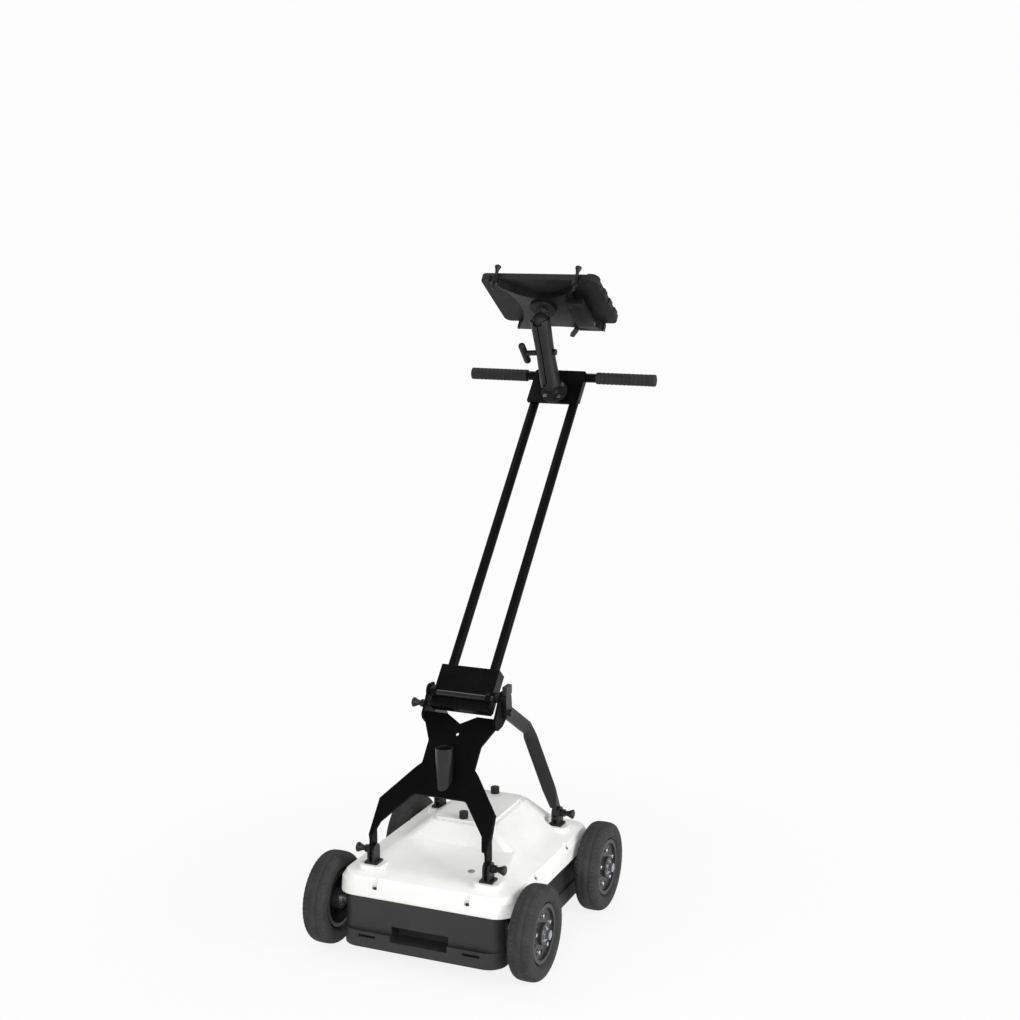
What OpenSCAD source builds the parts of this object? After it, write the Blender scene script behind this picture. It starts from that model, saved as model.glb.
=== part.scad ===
/* [Wheels] */
// Outer diameter of a wheel over the tyre
wheel_d = 200; // [180:1:220]
// Width of the tyre at its widest
tyre_w = 52; // [46:1:58]
// Distance between the front and the rear axle
wheel_base = 388; // [370:1:420]
// Room between the side of the housing and a tyre
wheel_room = 26; // [24:1:32]
// Diameter of the rim's seat for the tyre
rim_d = 118; // [110:1:124]
// Width of the rim's seat for the tyre
bead_w = 36; // [32:1:40]
// Diameter of a stub axle
axle_d = 15; // [12:0.5:18]
// Outer diameter of a wheel bearing
bearing_d = 32; // [28:1:36]
// Width of one wheel bearing
bearing_w = 9; // [7:1:11]
// Length of the wheel hub along the axle
hub_w = 46; // [42:1:50]
// Diameter of the wheel hub
hub_d = 46; // [42:1:52]
// Number of bolt holes in a rim
rim_holes = 5; // [5:1:8]
// Diameter of a bolt hole in a rim
rim_hole_d = 8; // [6:1:10]

/* [Antenna housing] */
// Height of the sole above the ground
ground_clear = 30; // [25:1:35]
// Height of the top of the sole pan above the ground
pan_top = 66; // [62:1:68]
// Height of the top of the housing above the ground
base_top = 139; // [136:1:142]
// Width of the housing
base_w = 370; // [350:1:376]
// Length of the housing
base_l = 506; // [490:1:516]
// Corner radius of the housing
base_r = 30; // [24:1:36]
// How far the sole pan stands out before and behind the housing
pan_lip = 9; // [6:1:11]
// Wall of the housing
base_wall = 5; // [4:0.5:7]
// Thickness of the sole
sole_t = 6; // [4:0.5:8]
// Width of the hand hold in the front wall
hold_w = 132; // [110:1:150]
// Height of the hand hold
hold_h = 32; // [26:1:34]
// Depth of the hand hold behind the front wall
hold_d = 34; // [28:1:40]

/* [Deck cover] */
// How far the cover stands out beyond each side of the housing
cover_over = 18; // [14:1:22]
// Length of the cover
cover_l = 502; // [490:1:512]
// Wall of the cover
cover_wall = 4; // [3:0.5:5]
// Height of the upright rim of the cover
cover_rim = 29; // [26:1:32]
// Height of the cover's shelf above its lower edge
shelf_h = 51; // [46:1:54]
// Height of the raised middle above the shelf
raised_h = 60; // [54:1:64]
// Width of the raised middle at its top
raised_w = 152; // [140:1:160]
// Height of the pads under the feet above the cover's lower edge
pad_h = 58; // [55:1:60]
// Thickness of the battery hatch
hatch_t = 6; // [5:0.5:8]
// Diameter of a hatch knob
hatch_knob_d = 20; // [16:1:24]
// Height of a hatch knob
hatch_knob_h = 15; // [12:1:18]

/* [Frame] */
// Thickness of the folded front plate
plate_t = 6; // [5:0.5:7]
// Lean of the front plate from upright, in degrees
plate_lean = 39.5; // [38:0.5:41]
// Width over the feet of the front plate
foot_span = 274; // [266:1:284]
// Width over the two cheeks of the front plate
cheek_span = 176; // [172:1:182]
// Width of the waist of the front plate
waist_w = 124; // [114:1:134]
// Width of the arch between the two legs at its top
arch_w = 130; // [120:1:136]
// Distance of the front feet ahead of the middle of the cart
front_foot_y = 199; // [195:1:202]
// Distance of the rear feet behind the middle of the cart
rear_foot_y = 162; // [156:1:168]
// Width over the feet of the rear legs
rear_span = 302; // [296:1:308]
// Thickness of a rear leg
leg_t = 8; // [6:0.5:9]
// Width of a rear leg
leg_w = 30; // [26:1:32]
// Diameter of the latch bar across the handle bracket
rod_d = 14; // [12:0.5:16]
// Diameter of the hinge pin
hinge_d = 12; // [10:0.5:13]
// Outer diameter of the pole socket
socket_d = 38; // [35:1:42]
// Bore of the pole socket
socket_bore = 28; // [25:1:30]
// Depth of the pole socket
socket_depth = 40; // [34:1:44]
// Diameter of a locking pin
pin_d = 10; // [8:0.5:11]
// Diameter of the flared knob of a locking pin
pin_knob_d = 21; // [18:1:24]

/* [Handle] */
// Lean of the handle from upright, in degrees
handle_lean = 41.8; // [40:0.1:44]
// Distance between the two handle tubes
tube_gap = 100; // [94:1:104]
// Diameter of a handle tube
tube_d = 22; // [20:0.5:24]
// Wall of a handle tube
tube_wall = 1.8; // [1.5:0.1:2.5]
// Distance from the latch bar to the handlebar, along the tubes
handle_reach = 870; // [800:1:920]
// Width over the handle bracket
bracket_w = 138; // [134:1:142]
// Thickness of the handle bracket
bracket_t = 32; // [30:1:34]
// Length of the handle bracket above the latch bar
bracket_up = 71; // [66:1:76]
// Length of the handle bracket below the latch bar
bracket_down = 29; // [27:1:30]
// Length over the two grips
bar_l = 472; // [450:1:490]
// Length of a grip
grip_l = 146; // [134:1:152]
// Diameter of a grip
grip_d = 28.5; // [26:0.5:32]
// Width of the top plate
top_plate_w = 130; // [126:1:134]
// Length of the top plate along the tubes
top_plate_l = 96; // [90:1:100]
// Thickness of the top plate
top_plate_t = 5; // [4:0.5:6]

/* [Tablet mount] */
// Diameter of the two mounting balls
ball_d = 38; // [36:0.5:40]
// Diameter of the necks that carry the balls
neck_d = 16; // [14:0.5:17]
// Diameter of the round foot under a ball
ball_foot_d = 64; // [60:1:68]
// Distance between the two balls
arm_len = 157; // [147:1:167]
// Wall of the clamp arm round a ball
arm_wall = 5; // [4:0.5:6]
// Forward lean of the clamp arm from upright, in degrees
arm_lean = 14.9; // [12:0.1:18]
// Sideways lean of the clamp arm, in degrees
arm_side = 4; // [0:0.5:4]
// Length of the cross bar of the arm's knob
knob_bar_l = 62; // [54:1:66]
// Width of the tablet
tablet_w = 289; // [275:1:300]
// Height of the tablet
tablet_h = 193; // [185:1:200]
// Thickness of the tablet
tablet_t = 16; // [14:1:20]
// Tilt of the tablet from upright, in degrees
tablet_tilt = 56; // [53:0.1:58]
// Thickness of the cradle behind the tablet
cradle_t = 18; // [15:0.5:20]

/* [Hidden] */
$fn = 64;

// Clearances and overruns that every piece shares
cut_over = 1;
run_gap = 0.05;
seat_gap = 0.02;
part_gap = 0.3;
hull_fn = 32;

// Wheels
wheel_r = wheel_d / 2;
track = base_w + 2 * wheel_room + tyre_w;
tyre_side = (wheel_r - rim_d / 2) / 2 - 1.5 * cut_over;
tyre_mid = wheel_r - tyre_side;
tyre_power_share = 0.58;
groove_w = 2.6;
groove_d = 2.2;
groove_shares = [-0.3, 0, 0.3];
flange_w = 3;
flange_h = 3.5;
web_t = 8;
barrel_t = 5;
hole_ring_r = (hub_d / 2 + rim_d / 2 - barrel_t) / 2;
axle_flange_d = 44;
axle_flange_t = 8;
nut_d = 22;
nut_t = 9;
washer_d = 27;
washer_t = 2;
encoder_d = 40;
encoder_t = 12;
hub_in = track / 2 - hub_w / 2;
hub_out = track / 2 + hub_w / 2;
side_x = base_w / 2;

// Housing
pan_side = 2;
pan_r = base_r + pan_lip + pan_side;
hold_z = pan_top + 2;
hold_wall = 3;
antenna_l = 380;
antenna_w = 296;
antenna_h = 26;
control_l = 170;
control_w = 180;
control_h = 50;
battery_l = 150;
battery_w = 96;
battery_h = 78;
small_slot_w = 40;
small_slot_h = 6;
small_slot_x = 121;

// Cover: each level is half width, front, rear, corner radius and height
cover_w = base_w + 2 * cover_over;
cover_y = cover_l / 2;
edge_in = 2;
mid_in = 10;
mid_h = 42;
cover_r = 45;
shelf_in = 45;
shelf_y = 48;
shelf_rise = 16;
raised_front = 62;
raised_rear = 193;
raised_in = 56;
raised_step = 14;
raised_back = 26;
cover_z = base_top;
shelf_z = cover_z + shelf_h;
raised_z = shelf_z + raised_h;
pad_z = cover_z + pad_h;
level_rim = [cover_w / 2, -cover_y, cover_y, cover_r, cover_z];
level_edge = [cover_w / 2 - edge_in, edge_in - cover_y, cover_y - edge_in, cover_r - edge_in,
    cover_z + cover_rim];
level_mid = [cover_w / 2 - mid_in, mid_in - cover_y, cover_y - mid_in, cover_r - mid_in / 2, cover_z + mid_h];
level_shelf = [cover_w / 2 - shelf_in, shelf_y - cover_y, cover_y - shelf_y, cover_r - shelf_in / 5, shelf_z];
level_foot = [raised_w / 2 + raised_in, -raised_front, raised_rear, cover_r / 2, shelf_z + shelf_rise];
level_top = [raised_w / 2, raised_step - raised_front, raised_rear - raised_back, cover_r / 3, raised_z];
pad_w = 54;
pad_l = 46;
pad_r = 10;
pad_sink = 34;
hatch_in = 9;
hatch_edge = 12;
hatch_front = level_top[1] + hatch_in;
hatch_rear = level_top[2] - hatch_in;
hatch_w = raised_w - 2 * hatch_in;
hatch_r = 12;
knob_in = 12;
knob_stud_d = 6;
screw_d = 8;
screw_t = 4;
recess_d = 13;
boss_d = 17;
boss_in = 10;
screw_h = 19;
side_screw_h = 30;
screw_in = 4.5;
side_screw_in = 9;
screw_front_x = 107;
screw_side_y = 92;

// Feet
foot_up = 29;
foot_z = pad_z + foot_up;
clevis_t = 5;
clevis_w = 30;
clevis_l = 30;
clevis_r = 14;
foot_r = 13;
sleeve_d = 17;
sleeve_l = 10;
plunger_neck_d = 9;
plunger_knob_l = 20;
front_tab_x = foot_span / 2 - plate_t;
rear_tab_x = rear_span / 2 - leg_t;

// Front plate: its own frame starts at the fold above the front feet
fold_up = 39;
fold_out = 16;
fold_z = foot_z + fold_up;
fold_y = -front_foot_y - fold_out;
tab_v = 32;
kink_v = 82;
arch_v = 102;
waist_v = 168;
waist_top_v = 226;
shoulder_v = 278;
notch_v = 272;
plate_top_v = 292;
notch_w = 70;
leg_in = 22;
rod_run = 179.7;
rod_rise = 273.1;
sin_plate = sin(plate_lean);
cos_plate = cos(plate_lean);
rod_y = fold_y + rod_run;
rod_z = fold_z + rod_rise;
tab_back = 15;
cheek_points = [[17, 11], [-20, -46], [-17, -57], [-4, -69], [20, -66], [52, -48], [52, -22], [37, 11]];
cheek_in = cheek_span / 2 - plate_t;
spacer_d = 22;
spacer_l = cheek_in - bracket_w / 2 - part_gap;
plate_hole_d = 8;
plate_hole_v = 248;

// Rear legs: bends as offsets from the latch bar, then the foot
leg_top = [36, -8];
leg_bolt = [40, -39];
leg_knee = [126, -98];
cap_at = [18, 3];
cap_l = 30;
cap_h = 20;
knee_out = 10;
leg_turn = -55;
low_bend_share = 0.1;
foot_bend_share = 0.72;
bolt_d = 8;
bolt_head_d = 15;
bolt_head_t = 6;

// Pole socket
socket_x = 0;
socket_rise = 182;
socket_out = 27;
socket_top = fold_z + socket_rise;
socket_y = fold_y + (socket_rise - socket_depth) * tan(plate_lean) - socket_out;
socket_l = 104;

// Handle: its own frame has x across, -y out of the front of the tubes, z up along them
sin_handle = sin(handle_lean);
cos_handle = cos(handle_lean);
tube_r = tube_d / 2;
rod_out = 3;
rod_over = 6;
rod_off = bracket_t / 2 + rod_out;
hinge_s = 12;
tube_seat = 5;
tube_low_s = hinge_s + hinge_d / 2 + tube_seat;
block_cut = 4;
block_slope = 10;
lug_r = 12;
lug_w = 9;
lock_s = -20;
lock_n = -2.7;
lock_depth = 16;
lock_y = rod_y + lock_s * sin_handle - (lock_n - rod_off) * cos_handle;
lock_z = rod_z + lock_s * cos_handle + (lock_n - rod_off) * sin_handle;
hinge_y = rod_y + hinge_s * sin_handle + rod_off * cos_handle;
hinge_z = rod_z + hinge_s * cos_handle - rod_off * sin_handle;
bar_s = handle_reach;
bar_r = tube_r;
grip_cap = 5;
grip_rings = 12;
grip_ring_d = 1;
plate_over = 8;
plate_low_s = bar_s + plate_over - top_plate_l;
plate_n = tube_r + part_gap / 3;
lip_x = tube_gap / 2 + tube_r + part_gap;
ball_s = plate_low_s + ball_foot_d / 2 - 2;
foot_t = 7;
ball_up = 28;
ball_n = plate_n + top_plate_t + seat_gap + foot_t + ball_up;
bar_y = rod_y + bar_s * sin_handle + rod_off * cos_handle;
low_ball_y = rod_y + ball_s * sin_handle - (ball_n - rod_off) * cos_handle;
low_ball_z = rod_z + ball_s * cos_handle + (ball_n - rod_off) * sin_handle;
base_bolt_ring = 24;
base_bolt_d = 6;
base_bolt_head_d = 10;
base_bolt_head_t = 4;

// Clamp arm, along its own z from the lower ball
ball_r = ball_d / 2;
neck_r = neck_d / 2;
arm_r = ball_r + arm_wall;
arm_waist_r = 22;
arm_end = 3;
arm_split = 3;
neck_room = 3;
arm_notch = neck_r + neck_room;
arm_notch_in = 7;
arm_bolt_d = 8;
knob_stem_d = 13;
knob_stem_l = 23;
knob_bar_d = 17;
knob_turn = 24;
high_ball_x = -arm_len * sin(arm_side);
high_ball_y = low_ball_y - arm_len * cos(arm_side) * sin(arm_lean);
high_ball_z = low_ball_z + arm_len * cos(arm_side) * cos(arm_lean);

// Tablet and cradle, in a frame with x across, y out of the screen, z up the tablet
ball_stand = ball_up + foot_t + cradle_t + seat_gap;
tablet_y = high_ball_y + ball_stand * cos(tablet_tilt);
tablet_z = high_ball_z + ball_stand * sin(tablet_tilt);
tablet_r = 16;
screen_w = 250;
screen_h = 156;
screen_t = 2;
key_w = 16;
key_h = 6;
key_t = 3;
key_in = 40;
cradle_half = 112;
cradle_top = tablet_h / 2 + 17;
cradle_low = -tablet_h / 2 - 8;
cradle_waist = 66;
cradle_dip = 38;
cradle_rise = -86;
clamp_x = 58;
clamp_w = 44;
clamp_low = -62;
clamp_h = 104;
clamp_out = 12;
jaw_x = 80;
jaw_w = 62;
jaw_t = 6;
jaw_hook = 10;
post_x = 100;
post_z = tablet_h / 2 + 9;
post_d = 7;
post_boss_d = 17;
post_tail = 15;
post_head_d = 15;
post_head_l = 22;
post_rise = 8;
lever_x = 52;
lever_turn = -35;
lever_z = -76;
lever_stem_d = 9;
lever_stem_l = 15;
lever_l = 44;
lever_w = 11;
lever_t = 7;

// The origin lies on the ground, under the middle of the cart's overall length
y_mid = (bar_y + grip_d / 2 - wheel_base / 2 - wheel_r) / 2;

module at_origin() {
    translate([0, -y_mid, 0]) children();
}

// Frame of the front plate: x across, y into the cart, z up the slope from the fold
module on_plate() {
    translate([0, fold_y, fold_z]) rotate([-plate_lean, 0, 0]) children();
}

// Frame of the handle: z along the tubes, from the height of the latch bar
module on_handle() {
    translate([0, rod_y, rod_z]) rotate([-handle_lean, 0, 0]) translate([0, rod_off, 0]) children();
}

// Frame of the clamp arm, from the lower ball
module on_arm() {
    translate([0, low_ball_y, low_ball_z]) rotate([arm_lean, 0, 0]) rotate([0, -arm_side, 0]) children();
}

// Frame of the tablet, from the middle of its back
module on_tablet() {
    translate([0, tablet_y, tablet_z]) rotate([tablet_tilt, 0, 0]) children();
}

// Cylinder along x from x0 to x1
module rod_x(d, x0, x1) {
    translate([x0, 0, 0]) rotate([0, 90, 0]) cylinder(d = d, h = x1 - x0);
}

// Sheet in the y-z plane, from x0, t thick
module sheet_x(x0, t) {
    translate([x0, 0, 0]) rotate([90, 0, 90]) linear_extrude(t) children();
}

// Rectangle with round corners between two corners
module round_rect(x0, y0, x1, y1, r) {
    translate([x0 + r, y0]) square([x1 - x0 - 2 * r, y1 - y0]);
    translate([x0, y0 + r]) square([x1 - x0, y1 - y0 - 2 * r]);
    for (x = [x0 + r, x1 - r], y = [y0 + r, y1 - r]) translate([x, y]) circle(r);
}

// Flared knob turned about z, from its neck to its wide end
module flared_knob(d, neck, l) {
    steps = 8;
    rotate_extrude() polygon(concat([[0, 0]],
        [for (i = [0:steps]) [neck / 2 + (d - neck) / 2 * pow(i / steps, 2), l * 0.8 * i / steps]],
        [[d / 2, l * 0.93], [d / 2 - l * 0.07, l], [0, l]]));
}

// One level of the cover as a thin slab, drawn in by a wall
module level(p, inset) {
    translate([0, 0, p[4] - inset])
        linear_extrude(seat_gap)
            round_rect(inset - p[0], p[1] + inset, p[0] - inset, p[2] - inset, p[3] - inset / 2, $fn = hull_fn);
}

module cover_form(inset) {
    hull() {
        level(level_rim, inset);
        level(level_edge, inset);
        level(level_mid, inset);
        level(level_shelf, inset);
    }
    hull() {
        level(level_shelf, inset);
        level(level_foot, inset);
    }
    hull() {
        level(level_foot, inset);
        level(level_top, inset);
    }
}

// Seats of the cover's screws: front, rear and the two sides
function screw_places() = concat(
    [for (x = [-1, 1], y = [-1, 1]) [x * screw_front_x, y * (cover_y - screw_in), cover_z + screw_h]],
    [for (x = [-1, 1], y = [-1, 1]) [x * (cover_w / 2 - side_screw_in), y * screw_side_y,
        cover_z + side_screw_h]]);

module each_pad() {
    for (x = [-1, 1]) {
        translate([x * (foot_span - plate_t) / 2, -front_foot_y, 0]) children();
        translate([x * (rear_span - leg_t) / 2, rear_foot_y, 0]) children();
    }
}

module skid_pan() color("#2b2b2c") at_origin() {
    half = base_w / 2 + pan_side;
    long = base_l / 2 + pan_lip;
    inner = base_w / 2 - base_wall;
    deep = base_l / 2 - base_wall;
    difference() {
        translate([0, 0, ground_clear])
            linear_extrude(pan_top - ground_clear)
                round_rect(-half, -long, half, long, pan_r);
        translate([0, 0, ground_clear + sole_t])
            linear_extrude(pan_top)
                round_rect(-inner, -deep, inner, deep, base_r - base_wall);
        translate([-hold_w / 2, -long - cut_over, hold_z - hold_h / 2])
            cube([hold_w, long - deep + 2 * cut_over, hold_h]);
        for (x = [-small_slot_x, small_slot_x])
            translate([x - small_slot_w / 2, -long - cut_over, ground_clear + (pan_top - ground_clear) * 0.64])
                cube([small_slot_w, pan_lip + cut_over, small_slot_h]);
    }
}

module base_housing() color("#343436") at_origin() {
    half = base_w / 2;
    long = base_l / 2;
    inner = half - base_wall;
    deep = long - base_wall;
    difference() {
        translate([0, 0, pan_top])
            linear_extrude(base_top - pan_top)
                round_rect(-half, -long, half, long, base_r);
        translate([0, 0, pan_top - cut_over])
            linear_extrude(base_top)
                round_rect(-inner, -deep, inner, deep, base_r - base_wall);
        translate([-hold_w / 2, -long - cut_over, hold_z - hold_h / 2])
            cube([hold_w, base_wall + 2 * cut_over, hold_h]);
    }
    // Cup behind the hand hold, open to the front
    difference() {
        translate([-hold_w / 2 - hold_wall, -deep + seat_gap, hold_z - hold_h / 2 - hold_wall])
            cube([hold_w + 2 * hold_wall, hold_d, hold_h + 2 * hold_wall]);
        translate([-hold_w / 2, -deep - cut_over, hold_z - hold_h / 2])
            cube([hold_w, hold_d - hold_wall + cut_over, hold_h]);
    }
    // Ribs that tie the cup to the front wall
    for (x = [-hold_w / 2 - hold_wall, hold_w / 2])
        translate([x, -deep - base_wall / 2, hold_z + hold_h / 2 - hold_wall])
            cube([hold_wall, base_wall, 2 * hold_wall]);
}

module deck_cover() color("#f2f2f0") at_origin() {
    difference() {
        union() {
            difference() {
                cover_form(0);
                cover_form(cover_wall);
            }
            each_pad() translate([0, 0, pad_z - pad_sink])
                linear_extrude(pad_sink)
                    round_rect(-pad_w / 2, -pad_l / 2, pad_w / 2, pad_l / 2, pad_r);
            for (x = [-1, 1], y = [-1, 1]) {
                translate([x * screw_front_x, y * (cover_y - boss_in), cover_z])
                    cylinder(d = boss_d, h = screw_h);
                translate([x * (cover_w / 2 - boss_in), y * screw_side_y, cover_z])
                    cylinder(d = boss_d, h = side_screw_h);
            }
        }
        // Flat seats above the pads
        each_pad() translate([0, 0, pad_z])
            linear_extrude(raised_h)
                round_rect(-pad_w / 2, -pad_l / 2, pad_w / 2, pad_l / 2, pad_r);
        for (p = screw_places())
            translate(p) cylinder(d = recess_d, h = raised_z);
        // Battery well under the hatch
        translate([0, 0, raised_z - 2 * cover_wall])
            linear_extrude(4 * cover_wall)
                round_rect(hatch_edge - hatch_w / 2, hatch_front + 2 * hatch_edge,
                           hatch_w / 2 - hatch_edge, hatch_rear - 2 * hatch_edge, hatch_r / 2);
    }
}

module cover_screws() color("#1c1c1d") at_origin() {
    for (p = screw_places())
        translate(p) cylinder(d = screw_d, h = screw_t);
}

module battery_hatch() color("#ededeb") at_origin() {
    difference() {
        translate([0, 0, raised_z + seat_gap])
            linear_extrude(hatch_t)
                round_rect(-hatch_w / 2, hatch_front, hatch_w / 2, hatch_rear, hatch_r);
        for (y = [hatch_front + knob_in, hatch_rear - knob_in])
            translate([0, y, raised_z - cut_over])
                cylinder(d = knob_stud_d + 2 * run_gap, h = hatch_t + 3 * cut_over);
    }
}

// Thumb knob with scalloped edge, on the hatch
module hatch_knob(y) color("#1c1c1d") at_origin() {
    scallops = 8;
    translate([0, y, raised_z + hatch_t + part_gap]) difference() {
        cylinder(d = hatch_knob_d, h = hatch_knob_h);
        for (i = [0:scallops - 1])
            rotate([0, 0, i * 360 / scallops])
                translate([hatch_knob_d * 0.56, 0, -cut_over])
                    cylinder(d = hatch_knob_d * 0.25, h = hatch_knob_h + 2 * cut_over);
    }
    translate([0, y, raised_z + part_gap]) cylinder(d = knob_stud_d, h = hatch_t + cut_over);
}

module antenna_module() color("#6d7478") at_origin() {
    z = ground_clear + sole_t;
    translate([0, 0, z]) linear_extrude(antenna_h)
        round_rect(-antenna_w / 2, -antenna_l / 2, antenna_w / 2, antenna_l / 2, base_r / 2);
}

module control_unit() color("#4d5356") at_origin() {
    z = ground_clear + sole_t + antenna_h;
    translate([0, 0, z]) linear_extrude(control_h)
        round_rect(-control_w / 2, hatch_front, control_w / 2, hatch_front + control_l, base_r / 3);
}

module battery_pack() color("#3a3f45") at_origin() {
    z = ground_clear + sole_t + antenna_h + control_h;
    y = hatch_front + (control_l - battery_l) / 2;
    translate([0, 0, z]) linear_extrude(battery_h)
        round_rect(-battery_w / 2, y, battery_w / 2, y + battery_l, base_r / 4);
}

// Stub axles with the flange that bolts to the side wall and the shoulder that meets the hub
module stub_axles() color("#8d9093") at_origin() {
    for (x = [0, 1], y = [-1, 1])
        mirror([x, 0, 0]) translate([0, y * wheel_base / 2, wheel_r]) {
            rod_x(axle_flange_d, side_x, side_x + axle_flange_t);
            rod_x(bearing_d - 2 * web_t + axle_d / 3, side_x, hub_in - part_gap);
            rod_x(axle_d, side_x, hub_out + part_gap + washer_t + nut_t + 2 * part_gap);
        }
}

module axle_nuts() color("#b9bcc0") at_origin() {
    for (x = [0, 1], y = [-1, 1])
        mirror([x, 0, 0]) translate([hub_out + part_gap, y * wheel_base / 2, wheel_r])
            rotate([0, 90, 0]) difference() {
                union() {
                    cylinder(d = washer_d, h = washer_t);
                    translate([0, 0, washer_t]) cylinder(d = nut_d, h = nut_t, $fn = 6);
                }
                translate([0, 0, -cut_over])
                    cylinder(d = axle_d + 2 * seat_gap, h = washer_t + nut_t + 2 * cut_over);
            }
}

// Ring housing of the distance encoder on the rear left axle
module wheel_encoder() color("#2a2b2d") at_origin() {
    mirror([1, 0, 0]) translate([0, wheel_base / 2, wheel_r]) difference() {
        rod_x(encoder_d, side_x + axle_flange_t, side_x + axle_flange_t + encoder_t);
        rod_x(bearing_d - 2 * web_t + axle_d / 3 + 2 * seat_gap, side_x, hub_in);
    }
}

module wheel_bearings() color("#a9adb1") at_origin() {
    for (x = [0, 1], y = [-1, 1], end = [hub_in, hub_out - bearing_w])
        mirror([x, 0, 0]) translate([0, y * wheel_base / 2, wheel_r]) difference() {
            rod_x(bearing_d, end, end + bearing_w);
            rod_x(axle_d + 2 * seat_gap, end - cut_over, end + bearing_w + cut_over);
        }
}

// Half of the rounded tyre section as a power curve round its middle
function tyre_section() = [for (a = [0:12:348])
    [tyre_mid + tyre_side * sign(cos(a)) * pow(abs(cos(a)), tyre_power_share),
     tyre_w / 2 * sign(sin(a)) * pow(abs(sin(a)), tyre_power_share)]];

module tyre(x, y) color("#4a4a4b") at_origin()
    translate([x * track / 2, y * wheel_base / 2, wheel_r]) rotate([0, 90, 0]) rotate_extrude($fn = 128)
        difference() {
            union() {
                polygon(tyre_section());
                translate([rim_d / 2, -bead_w / 2]) square([tyre_mid - rim_d / 2, bead_w]);
            }
            for (s = groove_shares)
                translate([wheel_r - groove_d - cut_over, s * tyre_w - groove_w / 2])
                    square([groove_d + 2 * cut_over, groove_w]);
        }

// Rim turned about the axle: barrel with flanges, web set towards the outside, and hub
module rim(x, y) color("#3b3b3d") at_origin()
    translate([x * track / 2, y * wheel_base / 2, wheel_r]) rotate([0, 90 * x, 0]) difference() {
        rotate_extrude($fn = 96) {
            seat = rim_d / 2 - seat_gap;
            edge = bead_w / 2 + seat_gap;
            translate([seat - barrel_t, -edge - flange_w]) square([barrel_t, 2 * (edge + flange_w)]);
            for (e = [edge, -edge - flange_w])
                translate([seat - cut_over, e]) square([flange_h + cut_over, flange_w]);
            translate([bearing_d / 2 + run_gap, hub_w / 2 - 2 * web_t])
                square([seat - bearing_d / 2 - cut_over, web_t]);
            translate([bearing_d / 2 + run_gap, -hub_w / 2]) square([(hub_d - bearing_d) / 2 - run_gap, hub_w]);
        }
        for (i = [0:rim_holes - 1])
            rotate([0, 0, i * 360 / rim_holes])
                translate([hole_ring_r, 0, 0]) cylinder(d = rim_hole_d, h = hub_w);
    }

// Forked foot bracket: base plate on its pad and two ears either side of a leg's tab
module clevis(x, y, tab_x, tab_t) color("#2c2c2e") at_origin()
    mirror([x < 0 ? 1 : 0, 0, 0]) translate([0, y, 0]) difference() {
        union() {
            translate([tab_x + tab_t / 2 - clevis_w / 2, -clevis_l / 2, pad_z])
                cube([clevis_w, clevis_l, clevis_t]);
            for (ear = [tab_x - part_gap - clevis_t, tab_x + tab_t + part_gap])
                sheet_x(ear, clevis_t) {
                    translate([-clevis_r, pad_z]) square([2 * clevis_r, foot_z - pad_z]);
                    translate([0, foot_z]) circle(clevis_r);
                }
        }
        translate([0, 0, foot_z]) rod_x(pin_d + 2 * run_gap, tab_x - clevis_w, tab_x + clevis_w);
    }

// Outline of the front plate's right half, from the arch over the leg to the notch at the top
function plate_half() = let (foot = foot_span / 2 - plate_t / 4, cheek = cheek_span / 2) [
    [arch_w / 2 - leg_in / 3, arch_v], [arch_w / 2, arch_v - leg_in / 4], [foot - 3 * plate_t, tab_v],
    [foot - 3 * plate_t / 2, 0], [foot, 0], [foot, kink_v], [waist_w / 2 + leg_in / 2, waist_v - leg_in / 4],
    [waist_w / 2, waist_v + leg_in / 4], [waist_w / 2, waist_top_v],
    [waist_w / 2 + leg_in / 4, waist_top_v + leg_in / 2],
    [cheek, shoulder_v], [cheek, plate_top_v], [notch_w / 2, plate_top_v], [0, notch_v]];

function mirrored(half) = concat(half, [for (i = [len(half) - 1:-1:0]) [-half[i][0], half[i][1]]]);

// Flange of a front leg down to its foot tab, in the y-z plane
function foot_outline() = let (y = -front_foot_y, top_y = fold_y + kink_v * sin_plate,
    top_z = fold_z + kink_v * cos_plate) [
    [top_y, top_z], [fold_y, fold_z], [y - foot_r, fold_z - foot_r], [y - foot_r, foot_z],
    [y + foot_r, foot_z], [y + foot_r, fold_z + tab_back]];

module front_plate() color("#232324") at_origin() difference() {
    union() {
        on_plate() rotate([90, 0, 0]) linear_extrude(plate_t, center = true) polygon(mirrored(plate_half()));
        for (m = [0, 1]) mirror([m, 0, 0]) {
            sheet_x(front_tab_x, plate_t) {
                polygon(foot_outline());
                translate([-front_foot_y, foot_z]) circle(foot_r);
            }
            // Cheek folded back beside the handle bracket, as offsets from the latch bar
            translate([0, rod_y, rod_z]) sheet_x(cheek_in, plate_t) polygon(cheek_points);
        }
    }
    translate([0, -front_foot_y, foot_z]) rod_x(pin_d + 2 * run_gap, -foot_span, foot_span);
    translate([0, hinge_y, hinge_z]) rod_x(hinge_d + 2 * seat_gap, -cheek_span, cheek_span);
    translate([0, lock_y, lock_z]) rod_x(pin_d + 2 * run_gap, -cheek_span, 0);
    translate([0, rod_y + leg_bolt[0], rod_z + leg_bolt[1]])
        rod_x(bolt_d + 2 * seat_gap, -cheek_span, cheek_span);
    on_plate() translate([0, 0, plate_hole_v]) rotate([90, 0, 0])
        cylinder(d = plate_hole_d, h = 4 * plate_t, center = true);
}

// Disc of a rear leg at one of its bends, turned about the upright
module leg_disc(p, r, turn) {
    translate([p[0] + leg_t / 2, p[1], p[2]]) rotate([0, 0, turn])
        rod_x(2 * r, -leg_t / 2, leg_t / 2, $fn = hull_fn);
}

// Point a share of the way from p to q
function between(p, q, share) = p + (q - p) * share;

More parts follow.
